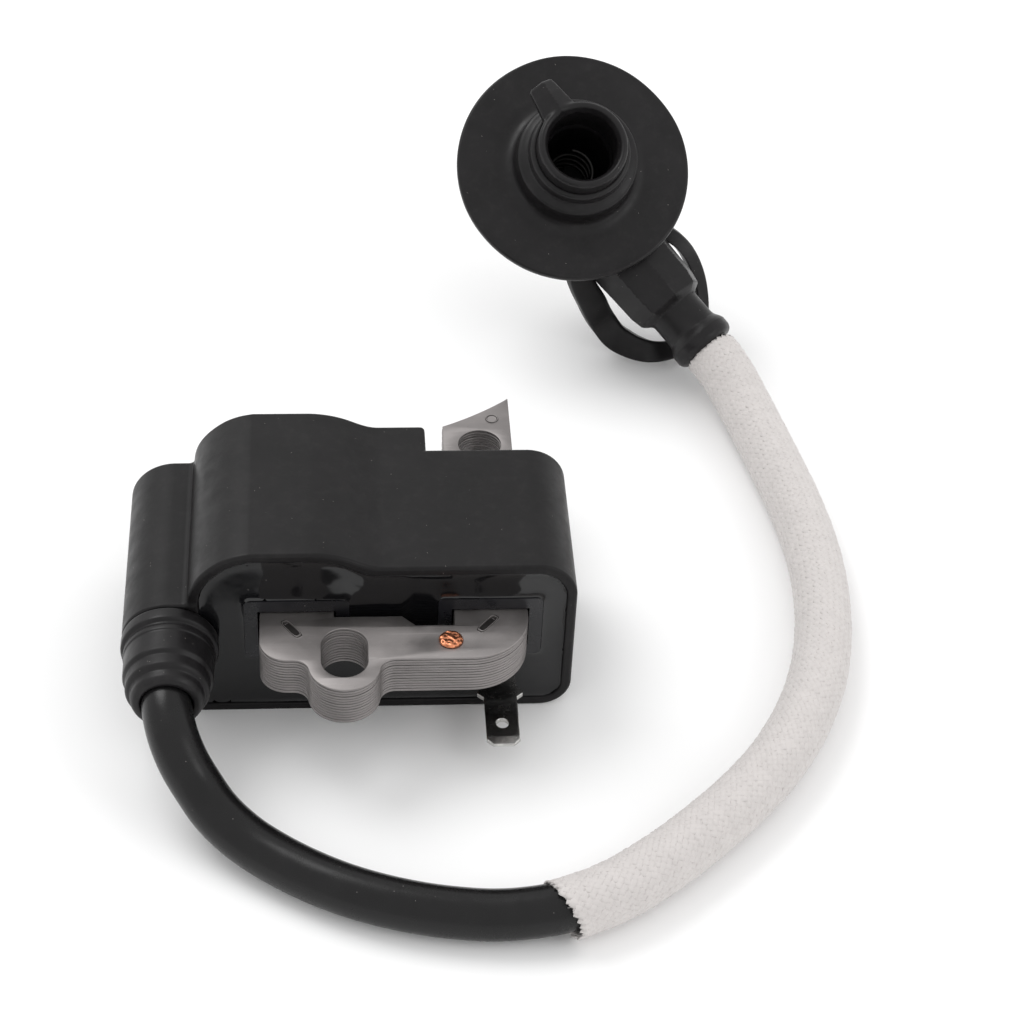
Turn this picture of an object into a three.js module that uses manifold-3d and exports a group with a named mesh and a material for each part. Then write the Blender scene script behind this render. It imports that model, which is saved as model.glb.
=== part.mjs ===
// Ignition coil of a small two-stroke engine: a potted coil on a laminated two-leg core, with its
// high-tension lead, glass-fibre heat sleeve and rubber spark plug boot. Millimetres, +Z up.
// X runs along the core's yoke, +Y points to the flywheel, Z = 0 is the floor under the case.
import * as THREE from "three";
import { mergeVertices } from "three/addons/utils/BufferGeometryUtils.js";
import Module from "manifold-3d";

const wasm = await Module();
wasm.setup();

// ---------------------------------------------------------------- driving dimensions
const GAP = 0.3; // clearance between pieces that touch in the real coil

// case
const CASE_FRONT = -16.05;
const CASE_REAR = 14.9;
const CASE_NOTCH_REAR = 9.65; // the right part of the case is shallower
const CASE_NOTCH_X = 11.5;
const CASE_WALL = 1.5;
const CASE_LEFT = -22.3;
const CASE_RIGHT = 32.1;
const CASE_HEAD = 8.5; // from the core's top to the case's
const CASE_CORNER = 5.9;
const CASE_FOOT_CORNER = 4.6;
const LOBE_RISE = 2.8; // of the lobe over the right part of the case
const LOBE_FLAT_LEFT = -12.9;
const LOBE_FLAT_RIGHT = -6.0;
const LOBE_SHOULDER = 15.2; // radius of the slope from the lobe down to the right part
const TOWER_X = -25.35;
const TOWER_Z = 14.2;
const TOWER_DEPTH = 22;
const TOWER_WALL = 2.15;

// core
const SHEET = 0.46;
const VARNISH = 0.04; // between two sheets
const SHEET_COUNT = 13;
const CORE_BOTTOM = 12.64;
const LEG_WIDTH = 10.4;
const LEG_A_LEFT = -12.67;
const LEG_B_LEFT = 14.7;
const YOKE_FRONT = -25.15;
const YOKE_BACK = -18.6;
const YOKE_LEFT_CORNER = 3.9;
const YOKE_RIGHT_CORNER = 8.2;
const YOKE_SLANT_X = 7.3; // the yoke's back edge steps down from here
const YOKE_SLANT_RUN = 1.9;
const BOSS_X = -0.87;
const BOSS_Y = -26.0;
const BOSS_RADIUS = 5.06;
const BOSS_FILLET = 2.2;
const SCREW_SLOT_WIDTH = 6.5;
const SCREW_SLOT_LENGTH = 9.5;
const SCREW_SLOT_Y = -23.8;
const REAR_HOLE_OFFSET = 0.3; // from the right leg's middle
const REAR_HOLE_Y = 20.7;
const FLYWHEEL_X = -5.7;
const FLYWHEEL_Y = 68.4;
const FLYWHEEL_RADIUS = 48;
const RIVET_X = 14.0;
const RIVET_Y = -21.7;
const RIVET_RADIUS = 1.1;
const RIVET_HEAD_RADIUS = 1.68;
const RIVET_HEAD_HEIGHT = 0.55;

// coils
const BOBBIN_WALL = 1.2;
const BOBBIN_FRAME = 1.9; // thicker rim that shows round each leg in the potted face
const BOBBIN_FLANGE = 1.0;
const FRAME_STANDS_PROUD = 0.35;
const PRIMARY_WINDING = 1.8;
const SECONDARY_WALL = 0.8;
const SECONDARY_WINDING = 1.8;
const SECONDARY_SECTIONS = 4;
const CHARGE_WINDING = 2.2;
const COIL_FRONT = -12.2;
const COIL_REAR = 12.0;
const CHARGE_REAR = 6.6;
const RESIN_DEPTH = 2.0;
const RESIN_RECESS = 0.6;

// electronics
const BOARD_X = 17.4;
const BOARD_Y = -2.6;
const BOARD_LENGTH = 22;
const BOARD_DEPTH = 18;
const BOARD_THICKNESS = 1.0;
const BOARD_Z = 2.3;

// stop terminal
const TAB_X = 21.55;
const TAB_Z = 4.95;
const TAB_WIDTH = 4.8;
const TAB_SHOULDER_WIDTH = 6.6;
const TAB_THICKNESS = 0.8;
const TAB_TIP = -28.7;
const TAB_HOLE_Y = -24.7;
const TAB_HOLE_RADIUS = 0.85;
const TAB_INNER_END = -11.2;

// lead, sleeve and grommet
const LEAD_RADIUS = 3.5;
const LEAD_SIDES = 10;
const CONDUCTOR_RADIUS = 0.8;
const CONDUCTOR_ROOM = 0.65; // an eight-sided bore round an eight-sided conductor
const SLEEVE_ROOM = 0.45;
const SLEEVE_WALL = 0.35;
const GROMMET_STEM_WALL = 0.6;
const GROMMET_NOSE_WALL = 1.3;
const GROMMET_BODY_WALL = 2.5;
const GROMMET_FLANGE_WALL = 3.1;
const GROMMET_LENGTH = 12.6;
const GROMMET_STEM = 7.0;
const SPIKE_RADIUS = 0.8;
const SPIKE_LENGTH = 7.0;
const SPIKE_BASE = 1.2;

// boot
const BOOT_BEAD = new THREE.Vector3(60.86, 57.95, 8.0);
const BOOT_SOCKET = new THREE.Vector3(37.8, 81.3, 25.2);
const PLUG_AXIS = new THREE.Vector3(0.05, -0.61, 0.79).normalize();
const NECK_WALL = 0.7;
const BEAD_WALL = 1.6;
const SHOULDER_RUN = 9.2; // from the bead's end to the elbow's shoulder
const PLUG_BORE_RADIUS = 5.7;
const BORE_FLOOR = 2.4; // the socket's floor is this far below the elbow's axis
const SOCKET_WALL = 1.6;
const ELBOW_WALL = 1.3;
const HUB_WALL = 2.4;
const HUB_HEIGHT = 8.3;
const MOUTH_RISE = 11.6; // from the disc's outer face to the mouth
const POINTER_LENGTH = 12.45;
const POINTER_THICKNESS = 2.2;
const DISC_RADIUS = 19.8;
const DISC_THICKNESS = 1.8;
const DISC_RISE = 2.5; // from the elbow's top to the disc's outer face
const LOOP_RADIUS = 1.8;

// The lead's centre line, chosen by hand: straight out of the tower, down to the floor, round in
// one loose curve and up into the boot.
const LEAD_ROUTE = [
  [-25.35, -1, 14.2],
  [-25.35, -12, 14.2],
  [-25.35, -22, 14.2],
  [-25.35, -28.6, 14.2],
  [-24.4, -32.9, 12.6],
  [-22.9, -35.8, 10.3],
  [-21.0, -38.1, 8.0],
  [-18.8, -40.7, 6.1],
  [-16.2, -43.1, 4.8],
  [-13.2, -45.5, 4.0],
  [-7.5, -49.5, 3.6],
  [-0.9, -53.2, 3.6],
  [6.0, -55.8, 3.6],
  [12.9, -57.4, 3.6],
  [20.2, -58.1, 3.7],
];
const SLEEVE_ROUTE = [
  [28.0, -57.4, 4.2],
  [34.5, -55.2, 4.4],
  [41.1, -50.9, 4.4],
  [47.6, -45.5, 4.4],
  [54.0, -39.3, 4.4],
  [60.0, -32.2, 4.4],
  [65.2, -23.6, 4.4],
  [69.2, -13.4, 4.4],
  [71.4, -1.7, 4.4],
  [71.9, 9.8, 4.4],
  [70.9, 21.0, 4.4],
  [68.9, 32.5, 4.5],
  [66.4, 44.0, 5.0],
  [64.8, 49.7, 5.8],
  [63.2, 53.9, 6.8],
];

// ---------------------------------------------------------------- helpers
const vector = (p) => new THREE.Vector3(...p);

// A closed geometry as a manifold solid.
function solid(geometry) {
  const bare = geometry.index ? geometry.toNonIndexed() : geometry.clone();
  bare.deleteAttribute("normal");
  bare.deleteAttribute("uv");
  const merged = mergeVertices(bare, 1e-4);
  return new wasm.Manifold(
    new wasm.Mesh({
      numProp: 3,
      vertProperties: merged.getAttribute("position").array,
      triVerts: new Uint32Array(merged.index.array),
    }),
  );
}

function geometryOf(body) {
  const mesh = body.getMesh();
  const geometry = new THREE.BufferGeometry();
  geometry.setAttribute("position", new THREE.BufferAttribute(mesh.vertProperties, 3));
  geometry.setIndex(new THREE.BufferAttribute(mesh.triVerts, 1));
  geometry.computeVertexNormals();
  return geometry;
}

const cut = (body, ...tools) => tools.reduce((left, tool) => left.subtract(solid(tool)), solid(body));
const join = (...bodies) => bodies.map(solid).reduce((a, b) => a.add(b));

// The outline's points with its arcs in steps, each point once.
function distinct(path, curveSegments) {
  const points = path.getPoints(curveSegments);
  return points.filter((p, i) => p.distanceTo(points[(i + points.length - 1) % points.length]) > 0.01);
}

function raised(outline, depth, curveSegments) {
  const shape = new THREE.Shape(distinct(outline, curveSegments));
  shape.holes = outline.holes.map((hole) => new THREE.Path(distinct(hole, curveSegments)));
  return new THREE.ExtrudeGeometry(shape, { depth, bevelEnabled: false });
}

// A flat outline in X and Y, raised from z to z + height.
const plate = (outline, z, height, curveSegments = 8) =>
  raised(outline, height, curveSegments).translate(0, 0, z);

// An outline in X and Z, carried along Y from front to rear.
const alongY = (outline, front, rear, curveSegments = 8) =>
  raised(outline, rear - front, curveSegments).rotateX(Math.PI / 2).translate(0, rear, 0);

function rectangle(x0, y0, x1, y1) {
  const shape = new THREE.Shape();
  shape.moveTo(x0, y0).lineTo(x1, y0).lineTo(x1, y1).lineTo(x0, y1).closePath();
  return shape;
}

function roundedRectangle(x0, y0, x1, y1, r) {
  const shape = new THREE.Shape();
  shape.moveTo(x0 + r, y0).lineTo(x1 - r, y0);
  shape.absarc(x1 - r, y0 + r, r, -Math.PI / 2, 0).lineTo(x1, y1 - r);
  shape.absarc(x1 - r, y1 - r, r, 0, Math.PI / 2).lineTo(x0 + r, y1);
  shape.absarc(x0 + r, y1 - r, r, Math.PI / 2, Math.PI).lineTo(x0, y0 + r);
  shape.absarc(x0 + r, y0 + r, r, Math.PI, 1.5 * Math.PI);
  return shape;
}

function circle(x, y, r) {
  const shape = new THREE.Shape();
  shape.absarc(x, y, r, 0, 2 * Math.PI);
  return shape;
}

function box(x0, x1, y0, y1, z0, z1) {
  const geometry = new THREE.BoxGeometry(x1 - x0, y1 - y0, z1 - z0);
  return geometry.translate((x0 + x1) / 2, (y0 + y1) / 2, (z0 + z1) / 2);
}

// A turned shape: profile is a list of [radius, height], and height runs along direction from foot.
function turned(profile, foot, direction, segments = 20) {
  const points = profile.map(([r, h]) => new THREE.Vector2(r, h));
  const up = new THREE.Vector3(0, 1, 0);
  const turn = new THREE.Quaternion().setFromUnitVectors(up, direction.clone().normalize());
  return new THREE.LatheGeometry(points, segments).applyQuaternion(turn).translate(foot.x, foot.y, foot.z);
}

const cylinder = (r, foot, direction, length, segments = 20) =>
  turned([[0, 0], [r, 0], [r, length], [0, length]], foot, direction, segments);

// A regular polygon carried along a curve, with an optional bore.
function tube(curve, steps, radius, sides, bore = 0, boreSides = 8) {
  const ring = (r, n) =>
    Array.from({ length: n }, (_, i) => {
      const angle = (2 * Math.PI * i) / n;
      return new THREE.Vector2(r * Math.cos(angle), r * Math.sin(angle));
    });
  const shape = new THREE.Shape(ring(radius, sides));
  if (bore > 0) shape.holes.push(new THREE.Path(ring(bore, boreSides)));
  return new THREE.ExtrudeGeometry(shape, { steps, bevelEnabled: false, extrudePath: curve });
}

// ---------------------------------------------------------------- materials
const finish = (color, roughness, metalness) =>
  new THREE.MeshStandardMaterial({ color, roughness, metalness });
const MATERIAL = {
  nylon: finish(0x1b1a1a, 0.5, 0),
  resin: finish(0x08080a, 0.12, 0),
  steel: finish(0xb9b6b4, 0.38, 1),
  copper: finish(0xc87c52, 0.35, 1),
  bobbin: finish(0x16161a, 0.45, 0),
  enamel: finish(0x9a4a22, 0.35, 0.6),
  board: finish(0x2c5a34, 0.5, 0),
  component: finish(0x23262c, 0.4, 0),
  film: finish(0x8c4a1c, 0.35, 0),
  tin: finish(0xc9c9c6, 0.3, 1),
  rubber: finish(0x1c1b1c, 0.62, 0),
  lead: finish(0x121213, 0.4, 0),
  braid: finish(0xefeeea, 0.85, 0),
};

const coil = new THREE.Group();
function add(name, body, material) {
  const mesh = new THREE.Mesh(body.isBufferGeometry ? body : geometryOf(body), material);
  mesh.name = name;
  coil.add(mesh);
}

// ---------------------------------------------------------------- radii round the lead
const leadHole = LEAD_RADIUS + GAP;
const stemRadius = leadHole + GROMMET_STEM_WALL;
const TOWER_BORE_RADIUS = stemRadius + GAP;
const TOWER_RADIUS = TOWER_BORE_RADIUS + TOWER_WALL;
const LEAD_BORE_RADIUS = CONDUCTOR_RADIUS + CONDUCTOR_ROOM;
const SLEEVE_BORE_RADIUS = LEAD_RADIUS + SLEEVE_ROOM;
const SLEEVE_RADIUS = SLEEVE_BORE_RADIUS + SLEEVE_WALL;
const NECK_RADIUS = leadHole + NECK_WALL;
const BEAD_RADIUS = leadHole + BEAD_WALL;
const ELBOW_RADIUS = PLUG_BORE_RADIUS + ELBOW_WALL;
const SOCKET_RADIUS = PLUG_BORE_RADIUS + SOCKET_WALL;
const HUB_RADIUS = SOCKET_RADIUS + GAP + HUB_WALL;
const DISC_HEIGHT = ELBOW_RADIUS + DISC_RISE; // from the elbow's axis
const SOCKET_RISE = DISC_HEIGHT + MOUTH_RISE;

// ---------------------------------------------------------------- case
const SHEET_PITCH = SHEET + VARNISH;
const CORE_TOP = CORE_BOTTOM + (SHEET_COUNT - 1) * SHEET_PITCH + SHEET;
const CASE_TOP = CORE_TOP + CASE_HEAD;
const LOBE_TOP = CASE_TOP + LOBE_RISE;
const CORE_MIDDLE = (CORE_BOTTOM + CORE_TOP) / 2;
const LEG_A_RIGHT = LEG_A_LEFT + LEG_WIDTH;
const LEG_B_RIGHT = LEG_B_LEFT + LEG_WIDTH;
const REAR_HOLE_X = LEG_B_LEFT + LEG_WIDTH / 2 + REAR_HOLE_OFFSET;

// The case's outline seen from the front, moved inwards by inset.
function caseOutline(inset) {
  const left = CASE_LEFT + inset;
  const right = CASE_RIGHT - inset;
  const foot = inset;
  const lobeRadius = LOBE_FLAT_LEFT - left;
  const lobeTop = LOBE_TOP - inset;
  const slopeRadius = LOBE_SHOULDER - inset;
  const slopeEnd = Math.acos((LOBE_SHOULDER - LOBE_RISE) / LOBE_SHOULDER);
  const corner = CASE_CORNER - inset;
  const footCorner = CASE_FOOT_CORNER - inset;
  const half = Math.PI / 2;
  const shape = new THREE.Shape();
  shape.moveTo(left, foot).lineTo(right - footCorner, foot);
  shape.absarc(right - footCorner, foot + footCorner, footCorner, -half, 0);
  shape.lineTo(right, CASE_TOP - inset - corner);
  shape.absarc(right - corner, CASE_TOP - inset - corner, corner, 0, half);
  shape.lineTo(LOBE_FLAT_RIGHT + LOBE_SHOULDER * Math.sin(slopeEnd), CASE_TOP - inset);
  shape.absarc(LOBE_FLAT_RIGHT, lobeTop - slopeRadius, slopeRadius, half - slopeEnd, half);
  shape.lineTo(LOBE_FLAT_LEFT, lobeTop);
  shape.absarc(LOBE_FLAT_LEFT, lobeTop - lobeRadius, lobeRadius, half, Math.PI);
  return shape;
}

const yAxis = new THREE.Vector3(0, 1, 0);
const zAxis = new THREE.Vector3(0, 0, 1);
const frontward = new THREE.Vector3(0, -1, 0);
const towerAt = (y) => new THREE.Vector3(TOWER_X, y, TOWER_Z);
const legHole = (left, grow) =>
  rectangle(left - grow, CORE_BOTTOM - grow, left + LEG_WIDTH + grow, CORE_TOP + grow);
const notch = box(CASE_NOTCH_X, 2 * CASE_RIGHT, CASE_NOTCH_REAR, 2 * CASE_REAR, -1, LOBE_TOP);
const innerNotch = box(
  CASE_NOTCH_X - CASE_WALL, 2 * CASE_RIGHT,
  CASE_NOTCH_REAR - CASE_WALL, 2 * CASE_REAR, -1, LOBE_TOP,
);
const chamber = cut(alongY(caseOutline(CASE_WALL), CASE_FRONT - 1, CASE_REAR - CASE_WALL), innerNotch);
const towerBlock = alongY(
  rectangle(TOWER_X, TOWER_Z, CASE_LEFT + CASE_WALL / 2, TOWER_Z + TOWER_RADIUS),
  CASE_FRONT, CASE_REAR,
);
const shellOutside = join(
  alongY(caseOutline(0), CASE_FRONT, CASE_REAR),
  cylinder(TOWER_RADIUS, towerAt(CASE_FRONT), yAxis, CASE_REAR - CASE_FRONT, 32),
  towerBlock,
).subtract(solid(notch));
const shell = shellOutside
  .subtract(chamber)
  .subtract(solid(cylinder(TOWER_BORE_RADIUS, towerAt(CASE_FRONT - 1), yAxis, TOWER_DEPTH + 1, 24)))
  .subtract(solid(alongY(legHole(LEG_A_LEFT, GAP), 0, 2 * CASE_REAR)))
  .subtract(solid(alongY(legHole(LEG_B_LEFT, GAP), 0, 2 * CASE_REAR)));
// The high-tension link passes from the chamber into the tower through this hole.
const LINK_Y = CASE_FRONT + TOWER_DEPTH - 2.2;
const LINK_HOLE_RADIUS = 0.9;
const linkHole = cylinder(
  LINK_HOLE_RADIUS, new THREE.Vector3(TOWER_X, LINK_Y, TOWER_Z),
  new THREE.Vector3(1, 0, 0), CASE_LEFT + 2 * CASE_WALL - TOWER_X, 12,
);
add("housing_shell", shell.subtract(solid(linkHole)), MATERIAL.nylon);

const resinFront = CASE_FRONT + RESIN_RECESS;
const tabSlot = box(
  TAB_X - TAB_SHOULDER_WIDTH / 2 - GAP, TAB_X + TAB_SHOULDER_WIDTH / 2 + GAP,
  CASE_FRONT - 1, CASE_FRONT + 2 * RESIN_DEPTH + 1,
  TAB_Z - TAB_THICKNESS / 2 - GAP, TAB_Z + TAB_THICKNESS / 2 + GAP,
);
const frameHole = (left) =>
  alongY(legHole(left, 2 * GAP + BOBBIN_FRAME), CASE_FRONT - 1, CASE_FRONT + RESIN_DEPTH + RESIN_RECESS + 1);
const towerBore = circle(TOWER_X, TOWER_Z, TOWER_BORE_RADIUS);
const resin = cut(
  alongY(caseOutline(CASE_WALL + GAP), resinFront, resinFront + RESIN_DEPTH),
  frameHole(LEG_A_LEFT), frameHole(LEG_B_LEFT), tabSlot,
  alongY(towerBore, resinFront - 1, resinFront + RESIN_DEPTH + 1),
);

// ---------------------------------------------------------------- core
function poleY(x) {
  return FLYWHEEL_Y - Math.sqrt(FLYWHEEL_RADIUS ** 2 - (x - FLYWHEEL_X) ** 2);
}

// One sheet: two legs to the flywheel's arc, a yoke, and a boss round the slotted screw hole.
function sheetOutline() {
  const shape = new THREE.Shape();
  const left = LEG_A_LEFT;
  const right = LEG_B_RIGHT;
  const half = Math.PI / 2;
  const filletY = YOKE_FRONT - BOSS_FILLET;
  const reach = Math.sqrt((BOSS_RADIUS + BOSS_FILLET) ** 2 - (BOSS_Y - filletY) ** 2);
  const meet = Math.atan2(BOSS_Y - filletY, reach);
  const arc = (x0, x1, steps) => {
    for (let i = 0; i <= steps; i++) {
      const x = x0 + ((x1 - x0) * i) / steps;
      shape.lineTo(x, poleY(x));
    }
  };
  shape.moveTo(left, YOKE_FRONT + YOKE_LEFT_CORNER);
  shape.absarc(left + YOKE_LEFT_CORNER, YOKE_FRONT + YOKE_LEFT_CORNER, YOKE_LEFT_CORNER, Math.PI, 3 * half);
  shape.lineTo(BOSS_X - reach, YOKE_FRONT);
  shape.absarc(BOSS_X - reach, filletY, BOSS_FILLET, half, meet, true);
  shape.absarc(BOSS_X, BOSS_Y, BOSS_RADIUS, Math.PI + meet, 2 * Math.PI - meet);
  shape.absarc(BOSS_X + reach, filletY, BOSS_FILLET, Math.PI - meet, half, true);
  shape.lineTo(right - YOKE_RIGHT_CORNER, YOKE_FRONT);
  shape.absarc(right - YOKE_RIGHT_CORNER, YOKE_FRONT + YOKE_RIGHT_CORNER, YOKE_RIGHT_CORNER, -half, 0);
  arc(right, LEG_B_LEFT, 4);
  shape.lineTo(LEG_B_LEFT, YOKE_BACK);
  shape.lineTo(YOKE_SLANT_X + YOKE_SLANT_RUN, YOKE_BACK);
  shape.lineTo(YOKE_SLANT_X, YOKE_BACK + YOKE_SLANT_RUN);
  shape.lineTo(LEG_A_RIGHT, YOKE_BACK + YOKE_SLANT_RUN);
  arc(LEG_A_RIGHT, left, 3);
  const slot = new THREE.Path();
  const r = SCREW_SLOT_WIDTH / 2;
  const run = SCREW_SLOT_LENGTH / 2 - r;
  slot.absarc(BOSS_X, SCREW_SLOT_Y + run, r, 0, Math.PI);
  slot.absarc(BOSS_X, SCREW_SLOT_Y - run, r, Math.PI, 2 * Math.PI);
  shape.holes.push(slot);
  shape.holes.push(circle(REAR_HOLE_X, REAR_HOLE_Y, r));
  shape.holes.push(circle(RIVET_X, RIVET_Y, RIVET_RADIUS + GAP));
  return shape;
}
for (let i = 0; i < SHEET_COUNT; i++) {
  const sheet = plate(sheetOutline(), CORE_BOTTOM + i * SHEET_PITCH, SHEET, 4);
  add("core_lamination_" + String(i + 1).padStart(2, "0"), sheet, MATERIAL.steel);
}

const head = RIVET_HEAD_RADIUS;
const coreHeight = CORE_TOP - CORE_BOTTOM;
const rivetProfile = [
  [0, -RIVET_HEAD_HEIGHT - GAP], [0.7 * head, -RIVET_HEAD_HEIGHT - GAP],
  [head, -0.4 * RIVET_HEAD_HEIGHT - GAP], [head, -GAP], [RIVET_RADIUS, -GAP],
  [RIVET_RADIUS, coreHeight + 0.02],
  [head, coreHeight + 0.02], [head, coreHeight + 0.35 * RIVET_HEAD_HEIGHT],
  [0.7 * head, coreHeight + 0.85 * RIVET_HEAD_HEIGHT], [0, coreHeight + RIVET_HEAD_HEIGHT],
];
const rivetFoot = new THREE.Vector3(RIVET_X, RIVET_Y, CORE_BOTTOM);
add("ground_rivet", turned(rivetProfile, rivetFoot, zAxis, 14), MATERIAL.copper);

// ---------------------------------------------------------------- coils
// A ring round a core leg, from inner to outer distance off the leg's faces.
function legRing(left, inner, outer, front, rear, corner = 0.6) {
  const outline = roundedRectangle(
    left - outer, CORE_BOTTOM - outer, left + LEG_WIDTH + outer, CORE_TOP + outer, corner + inner / 2,
  );
  outline.holes.push(legHole(left, inner));
  return alongY(outline, front, rear, 2);
}

const frameFront = resinFront - FRAME_STANDS_PROUD;
const frameRear = resinFront + RESIN_DEPTH + GAP;
const primaryIn = GAP;
const primaryOut = primaryIn + BOBBIN_WALL;
const windingOut = primaryOut + GAP + PRIMARY_WINDING;
const secondaryIn = windingOut + GAP;
const secondaryOut = secondaryIn + SECONDARY_WALL;
const secondaryFull = secondaryOut + GAP + SECONDARY_WINDING;
const chargeFull = primaryOut + GAP + CHARGE_WINDING;

function bobbin(left, rear, flangeOut) {
  return join(
    legRing(left, primaryIn, GAP + BOBBIN_FRAME, frameFront, frameRear),
    legRing(left, primaryIn, primaryOut, frameFront, rear),
    legRing(left, primaryIn, flangeOut, COIL_FRONT - BOBBIN_FLANGE, COIL_FRONT),
    legRing(left, primaryIn, flangeOut, rear - BOBBIN_FLANGE, rear),
  );
}
add("primary_bobbin", bobbin(LEG_A_LEFT, COIL_REAR, windingOut), MATERIAL.bobbin);
add(
  "primary_winding",
  legRing(LEG_A_LEFT, primaryOut + GAP, windingOut, COIL_FRONT + GAP, COIL_REAR - BOBBIN_FLANGE - GAP),
  MATERIAL.enamel,
);

const sectionPitch = (COIL_REAR - COIL_FRONT - BOBBIN_FLANGE) / SECONDARY_SECTIONS;
const secondaryWalls = Array.from({ length: SECONDARY_SECTIONS + 1 }, (_, i) => {
  const y = COIL_FRONT + i * sectionPitch;
  return legRing(LEG_A_LEFT, secondaryIn, secondaryFull, y, y + BOBBIN_FLANGE, 2);
});
add(
  "secondary_bobbin",
  join(legRing(LEG_A_LEFT, secondaryIn, secondaryOut, COIL_FRONT, COIL_REAR), ...secondaryWalls),
  MATERIAL.bobbin,
);
for (let i = 0; i < SECONDARY_SECTIONS; i++) {
  const front = COIL_FRONT + i * sectionPitch + BOBBIN_FLANGE + GAP;
  const rear = COIL_FRONT + (i + 1) * sectionPitch - GAP;
  const winding = legRing(LEG_A_LEFT, secondaryOut + GAP, secondaryFull - GAP, front, rear, 2);
  add("secondary_winding_" + (i + 1), winding, MATERIAL.enamel);
}
add("charge_bobbin", bobbin(LEG_B_LEFT, CHARGE_REAR, chargeFull), MATERIAL.bobbin);
add(
  "charge_winding",
  legRing(LEG_B_LEFT, primaryOut + GAP, chargeFull, COIL_FRONT + GAP, CHARGE_REAR - BOBBIN_FLANGE - GAP),
  MATERIAL.enamel,
);

// ---------------------------------------------------------------- electronics under the charge coil
const boardTop = BOARD_Z + BOARD_THICKNESS;
const onBoard = boardTop + GAP;
add(
  "circuit_board",
  box(
    BOARD_X - BOARD_LENGTH / 2, BOARD_X + BOARD_LENGTH / 2,
    BOARD_Y - BOARD_DEPTH / 2, BOARD_Y + BOARD_DEPTH / 2, BOARD_Z, boardTop,
  ),
  MATERIAL.board,
);
const capacitor = roundedRectangle(-5.2, 0, 5.2, 3.9, 0.9);
add(
  "storage_capacitor",
  alongY(capacitor, -2.6, 2.6, 3).translate(BOARD_X - 4.8, BOARD_Y + 5.4, onBoard),
  MATERIAL.film,
);
const thyristor = box(-2.3, 2.3, -1.8, 1.8, 0, 3.6).translate(BOARD_X - 7.5, BOARD_Y - 1.6, onBoard);
add("thyristor", thyristor, MATERIAL.component);
const controlChip = box(-2.5, 2.5, -2, 2, 0, 1.5).translate(BOARD_X - 0.6, BOARD_Y - 1.2, onBoard);
add("control_chip", controlChip, MATERIAL.component);
const diodeProfile = [[0, 0], [0.9, 0], [1.25, 0.35], [1.25, 4.0], [0.9, 4.35], [0, 4.35]];
["charge_diode", "stop_diode"].forEach((name, i) => {
  const foot = new THREE.Vector3(BOARD_X + 4.6 + 3.4 * i, BOARD_Y + 2.0, onBoard + 1.25);
  add(name, turned(diodeProfile, foot, yAxis, 12), MATERIAL.component);
});
const triggerFoot = new THREE.Vector3(BOARD_X - 5.6, BOARD_Y - 6.5, onBoard + 1.1);
add(
  "trigger_resistor",
  turned([[0, 0], [1.1, 0], [1.1, 1], [0.85, 1.3], [0.85, 3.7], [1.1, 4], [1.1, 5], [0, 5]], triggerFoot,
    new THREE.Vector3(1, 0, 0), 12),
  MATERIAL.board,
);

// ---------------------------------------------------------------- stop terminal and its wire
function tabOutline() {
  const half = TAB_WIDTH / 2;
  const wide = TAB_SHOULDER_WIDTH / 2;
  const chamfer = 0.9;
  const shape = new THREE.Shape();
  shape.moveTo(-half + chamfer, TAB_TIP).lineTo(half - chamfer, TAB_TIP).lineTo(half, TAB_TIP + chamfer);
  shape.lineTo(half, CASE_FRONT - 3.4).lineTo(wide, CASE_FRONT - 2.6).lineTo(wide, CASE_FRONT - 1.6);
  shape.lineTo(half, CASE_FRONT - 0.8).lineTo(half, TAB_INNER_END).lineTo(-half, TAB_INNER_END);
  shape.lineTo(-half, CASE_FRONT - 0.8).lineTo(-wide, CASE_FRONT - 1.6).lineTo(-wide, CASE_FRONT - 2.6);
  shape.lineTo(-half, CASE_FRONT - 3.4).lineTo(-half, TAB_TIP + chamfer).closePath();
  shape.holes.push(circle(0, TAB_HOLE_Y, TAB_HOLE_RADIUS));
  return shape;
}
add(
  "stop_terminal",
  plate(tabOutline(), TAB_Z - TAB_THICKNESS / 2, TAB_THICKNESS, 6).translate(TAB_X, 0, 0),
  MATERIAL.tin,
);
const stopWire = new THREE.CatmullRomCurve3([
  new THREE.Vector3(TAB_X, TAB_INNER_END + GAP, TAB_Z),
  new THREE.Vector3(TAB_X, TAB_INNER_END + 1.6, TAB_Z + 0.2),
  new THREE.Vector3(TAB_X, TAB_INNER_END + 3.4, onBoard + 0.35),
  new THREE.Vector3(TAB_X, TAB_INNER_END + 5.4, onBoard + 0.4),
]);
add("stop_wire", tube(stopWire, 8, 0.35, 8), MATERIAL.tin);

// The ground wire runs inside the resin from the core's side down to the board.
const groundWire = new THREE.CatmullRomCurve3([
  new THREE.Vector3(RIVET_X - 5.5, CASE_FRONT + RESIN_RECESS + RESIN_DEPTH + 0.6, CORE_BOTTOM - 5),
  new THREE.Vector3(RIVET_X - 5.5, BOARD_Y - 7.5, CORE_BOTTOM - 6.5),
  new THREE.Vector3(RIVET_X - 4.5, BOARD_Y - 4.8, onBoard + 0.5),
]);
add("ground_wire", tube(groundWire, 8, 0.35, 8), MATERIAL.copper);

// The resin comes after the pieces that it grips.
add("potting_resin", resin, MATERIAL.resin);

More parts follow.
